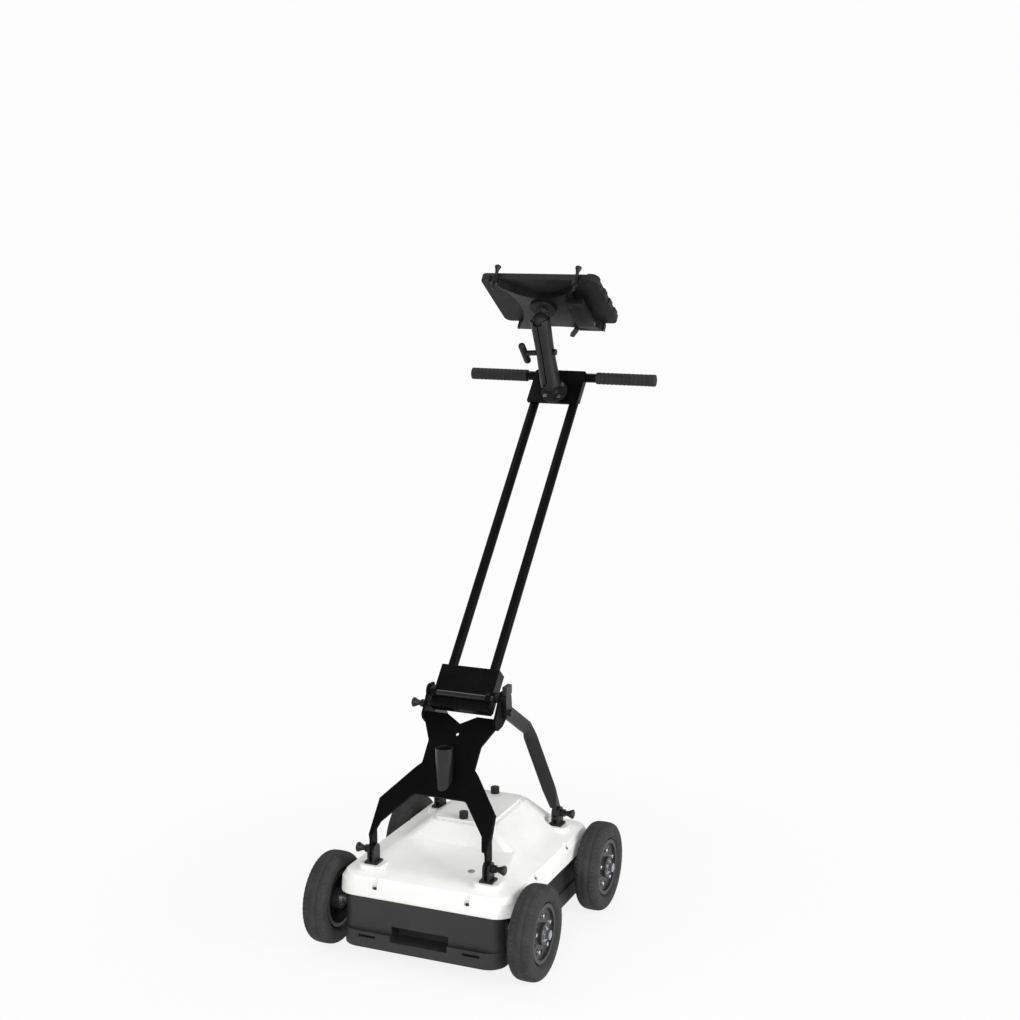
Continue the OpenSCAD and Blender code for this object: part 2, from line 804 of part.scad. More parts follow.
module rear_leg(m) color("#3a3a3c") at_origin() mirror([m, 0, 0]) difference() {
    top_x = cheek_span / 2 + seat_gap;
    r = leg_w / 2;
    top = [top_x, rod_y + leg_top[0], rod_z + leg_top[1]];
    bolt = [top_x, rod_y + leg_bolt[0], rod_z + leg_bolt[1]];
    knee = [top_x + knee_out, rod_y + leg_knee[0], rod_z + leg_knee[1]];
    foot = [rear_tab_x, rear_foot_y, foot_z];
    union() {
        hull() {
            leg_disc(top, r, 0);
            leg_disc(bolt, r, 0);
        }
        hull() {
            leg_disc(bolt, r, 0);
            leg_disc(knee, r, 0);
        }
        hull() {
            leg_disc(knee, r, 0);
            leg_disc(between(knee, foot, low_bend_share), r, leg_turn);
        }
        hull() {
            leg_disc(between(knee, foot, low_bend_share), r, leg_turn);
            leg_disc(between(knee, foot, foot_bend_share), r, leg_turn);
        }
        hull() {
            leg_disc(between(knee, foot, foot_bend_share), r, leg_turn);
            leg_disc(foot, foot_r, 0);
        }
        // Cap on the top of the right leg
        if (m == 0) translate([top_x, rod_y + cap_at[0], rod_z + cap_at[1]])
            cube([leg_t + 2 * cut_over, cap_l, cap_h]);
    }
    translate([0, rod_y + leg_bolt[0], rod_z + leg_bolt[1]]) {
        rod_x(bolt_d + 2 * seat_gap, 0, cheek_span);
        rod_x(bolt_head_d + 2 * part_gap, top_x + leg_t, cheek_span);
    }
    translate([0, rear_foot_y, foot_z]) rod_x(pin_d + 2 * run_gap, 0, rear_span);
    // The tab is flat between the ears of its bracket
    for (x = [rear_tab_x - 4 * leg_t, rear_tab_x + leg_t])
        translate([x, rear_foot_y - clevis_l, foot_z - 2 * clevis_r])
            cube([4 * leg_t, 2 * clevis_l, 3 * clevis_r + part_gap]);
}

// Hinge pin through both cheeks and the handle bracket, with a spacer at each end
module hinge_rod() color("#4c4c4f") at_origin() translate([0, hinge_y, hinge_z]) {
    rod_x(hinge_d, -cheek_span / 2, cheek_span / 2);
    for (m = [0, 1]) mirror([m, 0, 0]) rod_x(spacer_d, cheek_in - seat_gap - spacer_l, cheek_in - seat_gap);
}

module frame_bolts() color("#9a9da1") at_origin()
    for (m = [0, 1]) mirror([m, 0, 0]) translate([0, rod_y + leg_bolt[0], rod_z + leg_bolt[1]]) {
        leg_out = cheek_span / 2 + seat_gap + leg_t;
        rod_x(bolt_d, cheek_in, leg_out + seat_gap);
        rod_x(bolt_head_d, leg_out + seat_gap, leg_out + bolt_head_t);
        rod_x(bolt_head_d, cheek_in - bolt_head_t, cheek_in - seat_gap);
    }

// Upright socket for a pole, mitred against the leaning front plate
module pole_holder() color("#5b5b5d") at_origin() difference() {
    translate([socket_x, socket_y, socket_top - socket_l]) cylinder(d = socket_d, h = socket_l);
    translate([socket_x, socket_y, socket_top - socket_depth])
        cylinder(d = socket_bore, h = socket_depth + cut_over);
    on_plate() translate([-foot_span, -plate_t / 2 - seat_gap, -foot_span])
        cube([2 * foot_span, foot_span, 3 * foot_span]);
}

// Threaded sleeves that guide the locking pins
module sleeve(x) {
    difference() {
        rod_x(sleeve_d, x, x + sleeve_l);
        rod_x(pin_d + 2 * run_gap, x - cut_over, x + sleeve_l + cut_over);
    }
}

front_ear = front_tab_x + plate_t + part_gap + clevis_t;
rear_ear = rear_tab_x + leg_t + part_gap + clevis_t;

module plunger_sleeves() color("#77797d") at_origin() {
    for (m = [0, 1]) mirror([m, 0, 0]) {
        translate([0, -front_foot_y, foot_z]) sleeve(front_ear + seat_gap);
        translate([0, rear_foot_y, foot_z]) sleeve(rear_ear + seat_gap);
    }
    mirror([1, 0, 0]) translate([0, lock_y, lock_z]) sleeve(cheek_span / 2 + seat_gap);
}

// Spring-loaded locking pin with its flared pull knob; x0 is the pin's inner end
module plunger(m, y, z, x0, ear) color("#1f1f20") at_origin() mirror([m, 0, 0]) translate([0, y, z]) {
    face = ear + sleeve_l + part_gap;
    rod_x(pin_d, x0, face + cut_over);
    translate([face, 0, 0]) rotate([0, 90, 0])
        flared_knob(pin_knob_d, plunger_neck_d + 2 * cut_over, plunger_knob_l);
}

// Folding bracket at the foot of the handle: sloped block with two lugs that hold the latch bar
module handle_bracket() color("#2f2f31") at_origin() on_handle() difference() {
    half = bracket_w / 2;
    face = bracket_t / 2;
    union() {
        sheet_x(-half, bracket_w) polygon([[block_cut - face, -bracket_down], [face / 2, -bracket_down],
            [face, block_slope - bracket_down], [face, bracket_up], [-face, bracket_up],
            [-face, block_cut - bracket_down]]);
        for (m = [0, 1]) mirror([m, 0, 0]) sheet_x(half - lug_w, lug_w) {
            translate([-rod_off, 0]) circle(lug_r);
            translate([-rod_off, -lug_r]) square([rod_off, 2 * lug_r]);
        }
    }
    translate([0, 0, hinge_s]) rod_x(hinge_d + 2 * run_gap, -bracket_w, bracket_w);
    translate([0, -rod_off, 0]) rod_x(rod_d + 2 * seat_gap, -bracket_w, bracket_w);
    translate([0, -lock_n, lock_s]) rod_x(pin_d + 2 * part_gap, -half - cut_over, lock_depth - half);
    for (x = [-tube_gap / 2, tube_gap / 2])
        translate([x, 0, tube_low_s]) cylinder(d = tube_d + 2 * seat_gap, h = bracket_up);
}

// Round bar across the front of the bracket; its left end stays clear of the handle's lock
module latch_bar() color("#303032") at_origin() on_handle() translate([0, -rod_off, 0])
    rod_x(rod_d, -bracket_w / 2, bracket_w / 2 + rod_over);

module handle_tube(x) color("#262627") at_origin() on_handle() translate([x * tube_gap / 2, 0, 0])
    difference() {
    low = tube_low_s + seat_gap;
    high = bar_s - bar_r - part_gap;
    translate([0, 0, low]) cylinder(d = tube_d, h = high - low);
    translate([0, 0, low + tube_wall]) cylinder(d = tube_d - 2 * tube_wall, h = high - low);
}

module top_plate() color("#242425") at_origin() on_handle() difference() {
    union() {
        translate([0, -plate_n, plate_low_s]) rotate([90, 0, 0])
            linear_extrude(top_plate_t)
                round_rect(-top_plate_w / 2, 0, top_plate_w / 2, top_plate_l, tube_r / 2);
        // Side lips folded down past the tubes
        for (m = [0, 1]) mirror([m, 0, 0])
            translate([lip_x, -plate_n - cut_over, plate_low_s + tube_r])
                cube([top_plate_w / 2 - lip_x, plate_n + cut_over,
                    top_plate_l - plate_over - bar_r - tube_r - 2 * cut_over]);
    }
    for (i = [0:3])
        translate([0, -plate_n, ball_s]) rotate([90, 45 + 90 * i, 0]) translate([base_bolt_ring, 0, -cut_over])
            cylinder(d = base_bolt_d + 2 * seat_gap, h = top_plate_t + 2 * cut_over);
}

module handlebar() color("#2a2a2b") at_origin() on_handle() translate([0, 0, bar_s]) difference() {
    inner = bar_l / 2 - grip_cap - seat_gap;
    rod_x(2 * bar_r, -inner, inner);
    rod_x(2 * (bar_r - tube_wall), -inner - cut_over, inner + cut_over);
}

// Ribbed rubber grip with a closed end
module grip(m) color("#3c3c3d") at_origin() on_handle() mirror([m, 0, 0]) translate([0, 0, bar_s])
    difference() {
    start = bar_l / 2 - grip_l;
    pitch = (grip_l - 4 * grip_cap) / grip_rings;
    rod_x(grip_d, start, bar_l / 2);
    rod_x(2 * (bar_r + seat_gap), start - cut_over, bar_l / 2 - grip_cap);
    for (i = [0:grip_rings - 1]) translate([start + 2 * grip_cap + pitch * i, 0, 0]) difference() {
        rod_x(2 * grip_d, 0, pitch / 3);
        rod_x(grip_d - 2 * grip_ring_d, -cut_over, pitch / 3 + cut_over);
    }
}

// Round foot, neck and ball, standing along z from 0
module ball_stud() {
    cylinder(d = ball_foot_d, h = foot_t);
    cylinder(d1 = neck_d + ball_up / 2, d2 = neck_d, h = foot_t + ball_up / 4);
    cylinder(d = neck_d, h = foot_t + ball_up);
    translate([0, 0, foot_t + ball_up]) sphere(d = ball_d);
}

module ball_base() color("#333335") at_origin() on_handle()
    translate([0, -plate_n - top_plate_t - seat_gap, ball_s]) rotate([90, 0, 0]) difference() {
        ball_stud();
        for (i = [0:3]) rotate([0, 0, 45 + 90 * i]) translate([base_bolt_ring, 0, -cut_over])
            cylinder(d = base_bolt_d + 2 * seat_gap, h = foot_t + 2 * cut_over);
    }

module ball_base_bolts() color("#b4b7ba") at_origin() on_handle()
    translate([0, -plate_n, ball_s]) rotate([90, 0, 0]) for (i = [0:3])
        rotate([0, 0, 45 + 90 * i]) translate([base_bolt_ring, 0, 0]) {
            cylinder(d = base_bolt_d, h = top_plate_t + foot_t + cut_over);
            translate([0, 0, top_plate_t + foot_t + 2 * seat_gap])
                cylinder(d = base_bolt_head_d, h = base_bolt_head_t);
        }

// Clamp arm turned about its own axis: round sockets drawn in to a waist, both ends cut open
function arm_section() = let (steps = 16, low = -arm_end, high = arm_len + arm_end) concat([[0, low]],
    [for (i = [0:steps]) let (u = i / steps, swell = abs(2 * u - 1))
        [arm_waist_r + (arm_r - arm_waist_r) * swell * swell * (3 - 2 * swell), low + (high - low) * u]],
    [[0, high]]);

module arm_half(m) color("#3d3d40") at_origin() on_arm() mirror([m, 0, 0]) difference() {
    rotate_extrude() polygon(arm_section());
    translate([-2 * arm_r, -2 * arm_r, -arm_len]) cube([2 * arm_r + arm_split / 2, 4 * arm_r, 3 * arm_len]);
    for (z = [0, arm_len]) translate([0, 0, z]) sphere(d = ball_d + 2 * run_gap);
    // Hollow between the sockets, and the notches that let a neck swing
    translate([0, 0, ball_r]) cylinder(r = arm_waist_r - arm_wall, h = arm_len - 2 * ball_r);
    translate([-cut_over, -2 * arm_r, -arm_end - cut_over])
        cube([arm_notch + cut_over, 4 * arm_r, arm_end + arm_notch_in + cut_over]);
    translate([-cut_over, -2 * arm_r, arm_len - arm_notch_in])
        cube([arm_notch + cut_over, 4 * arm_r, arm_end + arm_notch_in + cut_over]);
    translate([0, 0, arm_len / 2]) rod_x(arm_bolt_d + 2 * run_gap, -arm_r, 2 * arm_r);
}

// Bolt through the middle of the arm, with its hexagon head on the right
module arm_bolt() color("#9a9da1") at_origin() on_arm() translate([0, 0, arm_len / 2]) {
    rod_x(arm_bolt_d, -arm_waist_r, arm_waist_r + cut_over);
    translate([arm_waist_r + seat_gap, 0, 0]) rotate([0, 90, 0])
        cylinder(d = 2 * arm_bolt_d, h = arm_bolt_d * 0.7, $fn = 6);
}

// Cross-bar knob that tightens the arm
module arm_knob() color("#2c2c2e") at_origin() on_arm() translate([0, 0, arm_len / 2]) rotate([knob_turn, 0, 0])
    mirror([1, 0, 0]) {
        rod_x(knob_stem_d, arm_waist_r + part_gap, arm_waist_r + knob_stem_l + knob_bar_d / 2);
        translate([arm_waist_r + knob_stem_l + knob_bar_d / 2, 0, 0]) {
            translate([0, 0, knob_bar_d / 2 - knob_bar_l / 2])
                cylinder(d = knob_bar_d, h = knob_bar_l - knob_bar_d);
            for (z = [-1, 1]) translate([0, 0, z * (knob_bar_l - knob_bar_d) / 2]) sphere(d = knob_bar_d);
        }
    }

module cradle_ball() color("#333335") at_origin() on_tablet()
    translate([high_ball_x, -cradle_t - seat_gap, 0]) rotate([90, 0, 0]) ball_stud();

// Hourglass outline of the cradle: four edges that bow inwards between its corners
function bow(n, f) = [for (i = [0:n - 1]) f(2 * i / n - 1)];
function cradle_outline() = let (mid = (cradle_top + cradle_low) / 2, tall = (cradle_top - cradle_low) / 2)
    concat(
    bow(8, function (t) [cradle_half * t, cradle_dip + (cradle_top - cradle_dip) * t * t]),
    bow(8, function (t) [cradle_waist + (cradle_half - cradle_waist) * t * t, mid - tall * t]),
    bow(8, function (t) [-cradle_half * t, cradle_rise + (cradle_low - cradle_rise) * t * t]),
    bow(8, function (t) [-cradle_waist - (cradle_half - cradle_waist) * t * t, mid + tall * t]));

module cradle() color("#39393b") at_origin() on_tablet() difference() {
    edge = tablet_h / 2 + part_gap;
    union() {
        translate([0, -part_gap / 3, 0]) rotate([90, 0, 0]) linear_extrude(cradle_t - part_gap / 3)
            polygon(cradle_outline());
        // Bosses for the thumb screws
        for (x = [-post_x, post_x]) translate([x, -part_gap / 3, post_z]) rotate([90, 0, 0])
            cylinder(d = post_boss_d, h = cradle_t - part_gap / 3);
        // Clamp body on the back
        translate([clamp_x, -cradle_t - clamp_out, clamp_low]) cube([clamp_w, clamp_out + cut_over, clamp_h]);
        // Jaws that hook round the tablet's lower edge
        for (x = [-jaw_x, jaw_x]) translate([x - jaw_w / 2, 0, 0]) {
            translate([0, -cradle_t, -edge - jaw_t])
                cube([jaw_w, cradle_t + tablet_t + part_gap + jaw_t, jaw_t]);
            translate([0, tablet_t + part_gap, -edge - cut_over]) cube([jaw_w, jaw_t, jaw_hook]);
        }
    }
    for (x = [-post_x, post_x]) translate([x, cut_over, post_z]) rotate([90, 0, 0])
        cylinder(d = post_d + 2 * run_gap, h = cradle_t + 2 * cut_over);
    translate([lever_x, cut_over, lever_z]) rotate([90, 0, 0])
        cylinder(d = lever_stem_d + 2 * run_gap, h = cradle_t + 2 * cut_over);
}

module tablet_body() color("#404043") at_origin() on_tablet() difference() {
    rotate([90, 0, 0]) translate([0, 0, -tablet_t]) linear_extrude(tablet_t)
        round_rect(-tablet_w / 2, -tablet_h / 2, tablet_w / 2, tablet_h / 2, tablet_r);
    translate([-screen_w / 2 - part_gap, tablet_t - screen_t, -screen_h / 2 - part_gap])
        cube([screen_w + 2 * part_gap, screen_t + cut_over, screen_h + 2 * part_gap]);
    translate([tablet_w / 2 - key_t, tablet_t / 2 - key_h / 2 - part_gap, tablet_h / 2 - key_in - part_gap])
        cube([key_t + cut_over, key_h + 2 * part_gap, key_w + 2 * part_gap]);
}

module tablet_screen() color("#15171a") at_origin() on_tablet()
    translate([-screen_w / 2, tablet_t - screen_t + seat_gap, -screen_h / 2])
        cube([screen_w, screen_t - seat_gap, screen_h]);

module tablet_power_key() color("#5a5a5d") at_origin() on_tablet()
    translate([tablet_w / 2 - key_t / 2, tablet_t / 2 - key_h / 2, tablet_h / 2 - key_in])
        cube([key_t, key_h, key_w]);

// Thumb screw through a top corner of the cradle, its flared head beside the tablet's upper edge
module clamp_screw(x) color("#2a2a2c") at_origin() on_tablet() translate([x * post_x, 0, post_z])
    rotate([-90, 0, 0]) {
    translate([0, 0, -cradle_t - post_tail])
        cylinder(d = post_d, h = cradle_t + post_tail + post_rise + cut_over);
    translate([0, 0, post_rise]) flared_knob(post_head_d, post_d, post_head_l);
}

// Lever on the back of the cradle that frees its lower jaws
module cradle_lever() color("#2a2a2c") at_origin() on_tablet() translate([lever_x, 0, lever_z])
    rotate([90, 0, 0]) {
    translate([0, 0, cradle_t / 2]) cylinder(d = lever_stem_d, h = cradle_t / 2 + lever_stem_l);
    translate([0, 0, cradle_t + lever_stem_l - lever_t]) rotate([0, 0, lever_turn]) linear_extrude(lever_t)
        round_rect(-lever_w / 2, lever_w / 2 - lever_l, lever_w / 2, lever_w / 2, lever_w / 2.5);
}

front_pin_in = front_tab_x - part_gap - clevis_t;
rear_pin_in = rear_tab_x - part_gap - clevis_t;
lock_pin_in = bracket_w / 2 + part_gap;

skid_pan();
base_housing();
deck_cover();
cover_screws();
battery_hatch();
hatch_knob(hatch_front + knob_in);  // hatch_knob_front
hatch_knob(hatch_rear - knob_in);  // hatch_knob_rear
antenna_module();
control_unit();
battery_pack();
stub_axles();
axle_nuts();
wheel_encoder();
wheel_bearings();
clevis(-1, -front_foot_y, front_tab_x, plate_t);  // front_left_clevis
clevis(1, -front_foot_y, front_tab_x, plate_t);  // front_right_clevis
clevis(-1, rear_foot_y, rear_tab_x, leg_t);  // rear_left_clevis
clevis(1, rear_foot_y, rear_tab_x, leg_t);  // rear_right_clevis
front_plate();
rear_leg(1);  // rear_leg_left
rear_leg(0);  // rear_leg_right
hinge_rod();
frame_bolts();
pole_holder();
plunger_sleeves();
plunger(1, -front_foot_y, foot_z, front_pin_in, front_ear);  // front_left_plunger
plunger(0, -front_foot_y, foot_z, front_pin_in, front_ear);  // front_right_plunger
plunger(1, rear_foot_y, foot_z, rear_pin_in, rear_ear);  // rear_left_plunger
plunger(0, rear_foot_y, foot_z, rear_pin_in, rear_ear);  // rear_right_plunger
plunger(1, lock_y, lock_z, lock_pin_in, cheek_span / 2);  // handle_plunger
handle_bracket();
latch_bar();
handle_tube(-1);  // handle_tube_left
handle_tube(1);  // handle_tube_right
top_plate();
handlebar();
grip(1);  // grip_left
grip(0);  // grip_right
ball_base();
ball_base_bolts();
arm_half(1);  // arm_half_left
arm_half(0);  // arm_half_right
arm_bolt();
arm_knob();
cradle_ball();
cradle();
tablet_body();
tablet_screen();
tablet_power_key();
clamp_screw(-1);  // clamp_screw_left
clamp_screw(1);  // clamp_screw_right
cradle_lever();
tyre(-1, -1);  // tyre_front_left
tyre(1, -1);  // tyre_front_right
tyre(-1, 1);  // tyre_rear_left
tyre(1, 1);  // tyre_rear_right
rim(-1, -1);  // rim_front_left
rim(1, -1);  // rim_front_right
rim(-1, 1);  // rim_rear_left
rim(1, 1);  // rim_rear_right
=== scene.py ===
import math

import bmesh
import bpy
import numpy as np
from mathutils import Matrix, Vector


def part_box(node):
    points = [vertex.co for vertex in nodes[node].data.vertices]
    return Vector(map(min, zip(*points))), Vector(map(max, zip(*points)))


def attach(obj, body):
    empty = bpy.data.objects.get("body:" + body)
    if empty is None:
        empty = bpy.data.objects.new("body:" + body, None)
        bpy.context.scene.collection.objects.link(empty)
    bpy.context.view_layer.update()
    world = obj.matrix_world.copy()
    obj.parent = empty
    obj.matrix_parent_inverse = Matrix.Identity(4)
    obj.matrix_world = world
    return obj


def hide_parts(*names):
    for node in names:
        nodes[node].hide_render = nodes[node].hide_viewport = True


# The cart as it was packed
# Every rigid piece comes from the solids, in metres, with the ground at height 0 and the front towards -Y.
# The sections below give the solids their finishes and add the small pieces that the solids lack.
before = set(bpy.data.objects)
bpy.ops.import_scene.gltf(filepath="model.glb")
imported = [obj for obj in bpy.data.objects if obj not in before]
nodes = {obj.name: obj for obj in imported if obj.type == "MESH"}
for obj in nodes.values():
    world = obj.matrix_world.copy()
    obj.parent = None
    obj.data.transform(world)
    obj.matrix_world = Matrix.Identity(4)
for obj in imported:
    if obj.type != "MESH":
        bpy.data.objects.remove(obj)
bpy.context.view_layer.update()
MM = 0.001


# The antenna tub
# A low open tub with a hand hold in its front wall, and the sole pan that closes it from below.
# Both are moulded in black high-density polyethylene, with rounded corners.
def linear(code):
    """sRGB hex colour as linear RGBA: each channel's gamma curve undone."""
    channels = [int(code[i:i + 2], 16) / 255 for i in (1, 3, 5)]
    return [c / 12.92 if c <= 0.04045 else ((c + 0.055) / 1.055) ** 2.4 for c in channels] + [1.0]


def add(tree, kind, settings=None, values=None, links=None):
    """Adds one shader node, with its settings, its sockets' values, and links from other nodes' outputs."""
    node = tree.nodes.new("ShaderNode" + kind)
    for name, value in (settings or {}).items():
        setattr(node, name, value)
    for name, value in (values or {}).items():
        node.inputs[name].default_value = value
    for name, output in (links or {}).items():
        tree.links.new(output, node.inputs[name])
    return node


# A Mix node of colours shares its sockets' names with its other kinds, so they go by number.
COLOUR_A, COLOUR_B, MIXED = 6, 7, 2
# How a grain is drawn: octaves, how rough they are, and how strongly they tilt the surface.
GRAIN_DETAIL, GRAIN_ROUGHNESS, GRAIN_STRENGTH = 2.0, 0.6, 0.8
# The slow noise of a finish: octaves, where most of its values lie, and where the second shade comes in.
DRIFT_DETAIL = 5.0
DRIFT_LOW, DRIFT_HIGH = 0.3, 0.7
SHADE_LOW, SHADE_HIGH = 0.4, 0.75
# Cosine between the rounded normal and the face's own where rubbing starts and where it is full.
RUB_START, RUB_FULL = 0.99, 0.86
RUB_SAMPLES = 4


def finish_of(name, colour, roughness, tone_mm, tone, grain_mm=0.0, grain_depth_mm=0.0, second=None,
              worn=None, worn_mm=1.2, **sockets):
    """A finish: a grain of width grain_mm raises the surface, and a slow noise of width tone_mm drifts the
    roughness up and down by tone and the colour towards a second shade. Edges, where a normal rounded over
    worn_mm departs from the face's own, are rubbed to a worn shade where that noise is high."""
    material = bpy.data.materials.new(name)
    material.use_nodes = True
    tree = material.node_tree
    tree.nodes.clear()
    place = add(tree, "TexCoord").outputs["Object"]
    values = {"Base Color": linear(colour), "Roughness": roughness}
    values.update(sockets)
    shader = add(tree, "BsdfPrincipled", values=values)
    add(tree, "OutputMaterial", links={"Surface": shader.outputs["BSDF"]})
    if grain_mm:
        grain = add(tree, "TexNoise", values={"Scale": 1 / (grain_mm * MM), "Detail": GRAIN_DETAIL,
                                              "Roughness": GRAIN_ROUGHNESS}, links={"Vector": place})
        bump = add(tree, "Bump", values={"Distance": grain_depth_mm * MM, "Strength": GRAIN_STRENGTH},
                   links={"Height": grain.outputs["Fac"]})
        tree.links.new(bump.outputs["Normal"], shader.inputs["Normal"])
    drift = add(tree, "TexNoise", values={"Scale": 1 / (tone_mm * MM), "Detail": DRIFT_DETAIL},
                links={"Vector": place}).outputs["Fac"]
    gloss = add(tree, "MapRange", values={"From Min": DRIFT_LOW, "From Max": DRIFT_HIGH,
                                          "To Min": roughness - tone, "To Max": roughness + tone},
                links={"Value": drift})
    tree.links.new(gloss.outputs["Result"], shader.inputs["Roughness"])
    if second:
        share = add(tree, "MapRange", values={"From Min": SHADE_LOW, "From Max": SHADE_HIGH},
                    links={"Value": drift}).outputs["Result"]
        shade = add(tree, "Mix", {"data_type": "RGBA"}, {COLOUR_A: linear(colour), COLOUR_B: linear(second)},
                    {"Factor": share}).outputs[MIXED]
        if worn:
            rounded = add(tree, "Bevel", {"samples": RUB_SAMPLES}, {"Radius": worn_mm * MM})
            own = add(tree, "NewGeometry")
            bend = add(tree, "VectorMath", {"operation": "DOT_PRODUCT"},
                       links={0: rounded.outputs["Normal"], 1: own.outputs["Normal"]})
            edge = add(tree, "MapRange", values={"From Min": RUB_START, "From Max": RUB_FULL},
                       links={"Value": bend.outputs["Value"]})
            rub = add(tree, "Math", {"operation": "MULTIPLY"}, links={0: edge.outputs["Result"], 1: share})
            shade = add(tree, "Mix", {"data_type": "RGBA"}, {COLOUR_B: linear(worn)},
                        {"Factor": rub.outputs["Value"], COLOUR_A: shade}).outputs[MIXED]
        tree.links.new(shade, shader.inputs["Base Color"])
    return material


JOIN_MM = 0.01
FLAT_DEGREES = 0.5
SHARP_DEGREES = 32


def dress(material, *names, edge_mm, segments=2):
    """Gives solids their finish. Their triangles are joined, those in one plane become one face, and edges
    sharper than a set angle are rounded by the radius edge_mm."""
    for name in names:
        solid = nodes[name]
        solid.data.materials.clear()
        solid.data.materials.append(material)
        solid.data.polygons.foreach_set("use_smooth", [True] * len(solid.data.polygons))
        solid.modifiers.new("Joined", "WELD").merge_threshold = JOIN_MM * MM
        flat = solid.modifiers.new("Flat faces", "DECIMATE")
        flat.decimate_type = "DISSOLVE"
        flat.angle_limit = math.radians(FLAT_DEGREES)
        edge = solid.modifiers.new("Edges", "BEVEL")
        edge.width = edge_mm * MM
        edge.segments = segments
        edge.limit_method = "ANGLE"
        edge.angle_limit = math.radians(SHARP_DEGREES)
        edge.miter_outer = "MITER_ARC"
        solid.modifiers.new("Even shading", "WEIGHTED_NORMAL").mode = "FACE_AREA"


# The shader's socket for how strongly a surface mirrors: 0.5 is clean plastic; dusty or matt ones have less.
SHEEN = "Specular IOR Level"
# Black polyethylene from a grained mould: dull, with wide soft highlights and edges scuffed to grey.
# The real grain is about half as wide and would not show; this holds for every moulded grain below.
tub_plastic = finish_of("Grained black polyethylene", "#262627", 0.55, grain_mm=0.9, grain_depth_mm=0.06,
                        tone_mm=60, tone=0.05, second="#2c2c2c", worn="#4c4c4c", **{SHEEN: 0.4})
dress(tub_plastic, "base_housing", "skid_pan", edge_mm=1.6, segments=3)

# The blocks inside the tub
# The antenna, the electronics and the battery, each in a closed box moulded in grey ABS.
# They are fixed inside the tub, out of sight under the cover.

# Grey ABS from a lightly etched mould: even and dull, with hardly any highlight.
block_grey = finish_of("Grey moulded housing", "#53585b", 0.55, grain_mm=0.9, grain_depth_mm=0.05,
                       tone_mm=40, tone=0.05, second="#5a5e60")
dress(block_grey, "antenna_module", "control_unit", "battery_pack", edge_mm=1.0)

# The white cover
# One vacuum-formed sheet of white ABS, screwed to the rim of the tub through round wells in its edge.
# A hatch of the same sheet closes the battery's opening, held by two black thumb knobs.

# White ABS, formed over a smooth mould: large soft highlights, and the faint 6 mm waviness of a formed sheet.
cover_abs = finish_of("Smooth white ABS", "#efefed", 0.33, grain_mm=6, grain_depth_mm=0.05,
                      tone_mm=45, tone=0.05, second="#eae9e6", IOR=1.53)
dress(cover_abs, "deck_cover", edge_mm=5.0, segments=4)
dress(cover_abs, "battery_hatch", edge_mm=1.5, segments=3)
# Black nylon from a plain mould: a half-dull sheen, with corners that hands have worn to grey.
knob_plastic = finish_of("Black nylon", "#121213", 0.45, grain_mm=0.7, grain_depth_mm=0.03,
                         tone_mm=9, tone=0.08, second="#19191a", worn="#343435", worn_mm=0.6, **{SHEEN: 0.35})
dress(knob_plastic, "hatch_knob_front", "hatch_knob_rear", edge_mm=0.8)
# Steel with blackened zinc plate: a dark cloudy metal, brighter where tools have rubbed its corners.
black_zinc = finish_of("Blackened zinc", "#1a1a1c", 0.4, tone_mm=6, tone=0.1, second="#232325",
                       worn="#5a5a5c", worn_mm=0.5, Metallic=0.6)
dress(black_zinc, "cover_screws", edge_mm=0.6)

# The walls of the wells and seats
# Round screw wells in the cover's edge, and the seats of the rear feet in the slope of its raised middle.
# The inner wall of each is a strip of the same white sheet, turned down from the edge of the opening.
SHEET = 1.2 * MM
WELL_RADIUS = 6.5 * MM
WELL_HEIGHTS = {"end": 15.5 * MM, "side": 8.5 * MM}
# Screws that lie further out than this share of the outermost one's distance are in a row along that edge.
WELL_ROW_SHARE = 0.93
CORNERS = ((-1, -1), (-1, 1), (1, -1), (1, 1))
SEAT_HALVES = np.array([27, 23]) * MM
SEAT_CORNER = 10 * MM
SEAT_CLEAR = 0.3 * MM
SEAT_SINK = 8 * MM
# The seat's wall ends this far below the slope, inside the cover's own thickness and rounded edge.
SLOPE_COVER = 5.5 * MM
WALL_STEPS = 24
SEAT_STEPS = 72


def surface(name, grids, material, body, around=False, smooth=False):
    """Grids of points [u, v, xyz] as one mesh, each closed round v: where around is set it is closed round u
    too, and otherwise its first and last rings are capped flat."""
    points, faces, start = [], [], 0
    for grid in grids:
        nu, nv = grid.shape[:2]
        index = np.arange(nu * nv).reshape(nu, nv) + start
        if around:
            index = np.vstack([index, index[:1]])
        else:
            faces += [index[0].tolist(), index[-1].tolist()]
        index = np.hstack([index, index[:, :1]])
        quads = np.stack([index[:-1, :-1], index[1:, :-1], index[1:, 1:], index[:-1, 1:]], -1)
        faces += quads.reshape(-1, 4).tolist()
        points.append(grid.reshape(-1, 3))
        start += nu * nv
    mesh = bpy.data.meshes.new(name)
    mesh.from_pydata(np.concatenate(points).tolist(), [], faces)
    shell = bmesh.new()
    shell.from_mesh(mesh)
    bmesh.ops.recalc_face_normals(shell, faces=shell.faces)
    shell.to_mesh(mesh)
    shell.free()
    mesh.polygons.foreach_set("use_smooth", [smooth] * len(mesh.polygons))
    mesh.materials.append(material)
    piece = bpy.data.objects.new(name, mesh)
    bpy.context.scene.collection.objects.link(piece)
    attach(piece, body)
    return piece


def wall(path, outward, bottom, top):
    """A strip along a path of places [u, xy], one sheet thick towards outward: at each place the four corners
    of its section, two at the height bottom and two at the height top."""
    low = np.full((len(path), 1), bottom)
    high = np.broadcast_to(top, len(path))[:, None]
    far = path + SHEET * outward
    section = ((path, low), (far, low), (far, high), (path, high))
    return np.stack([np.hstack(corner) for corner in section], 1)


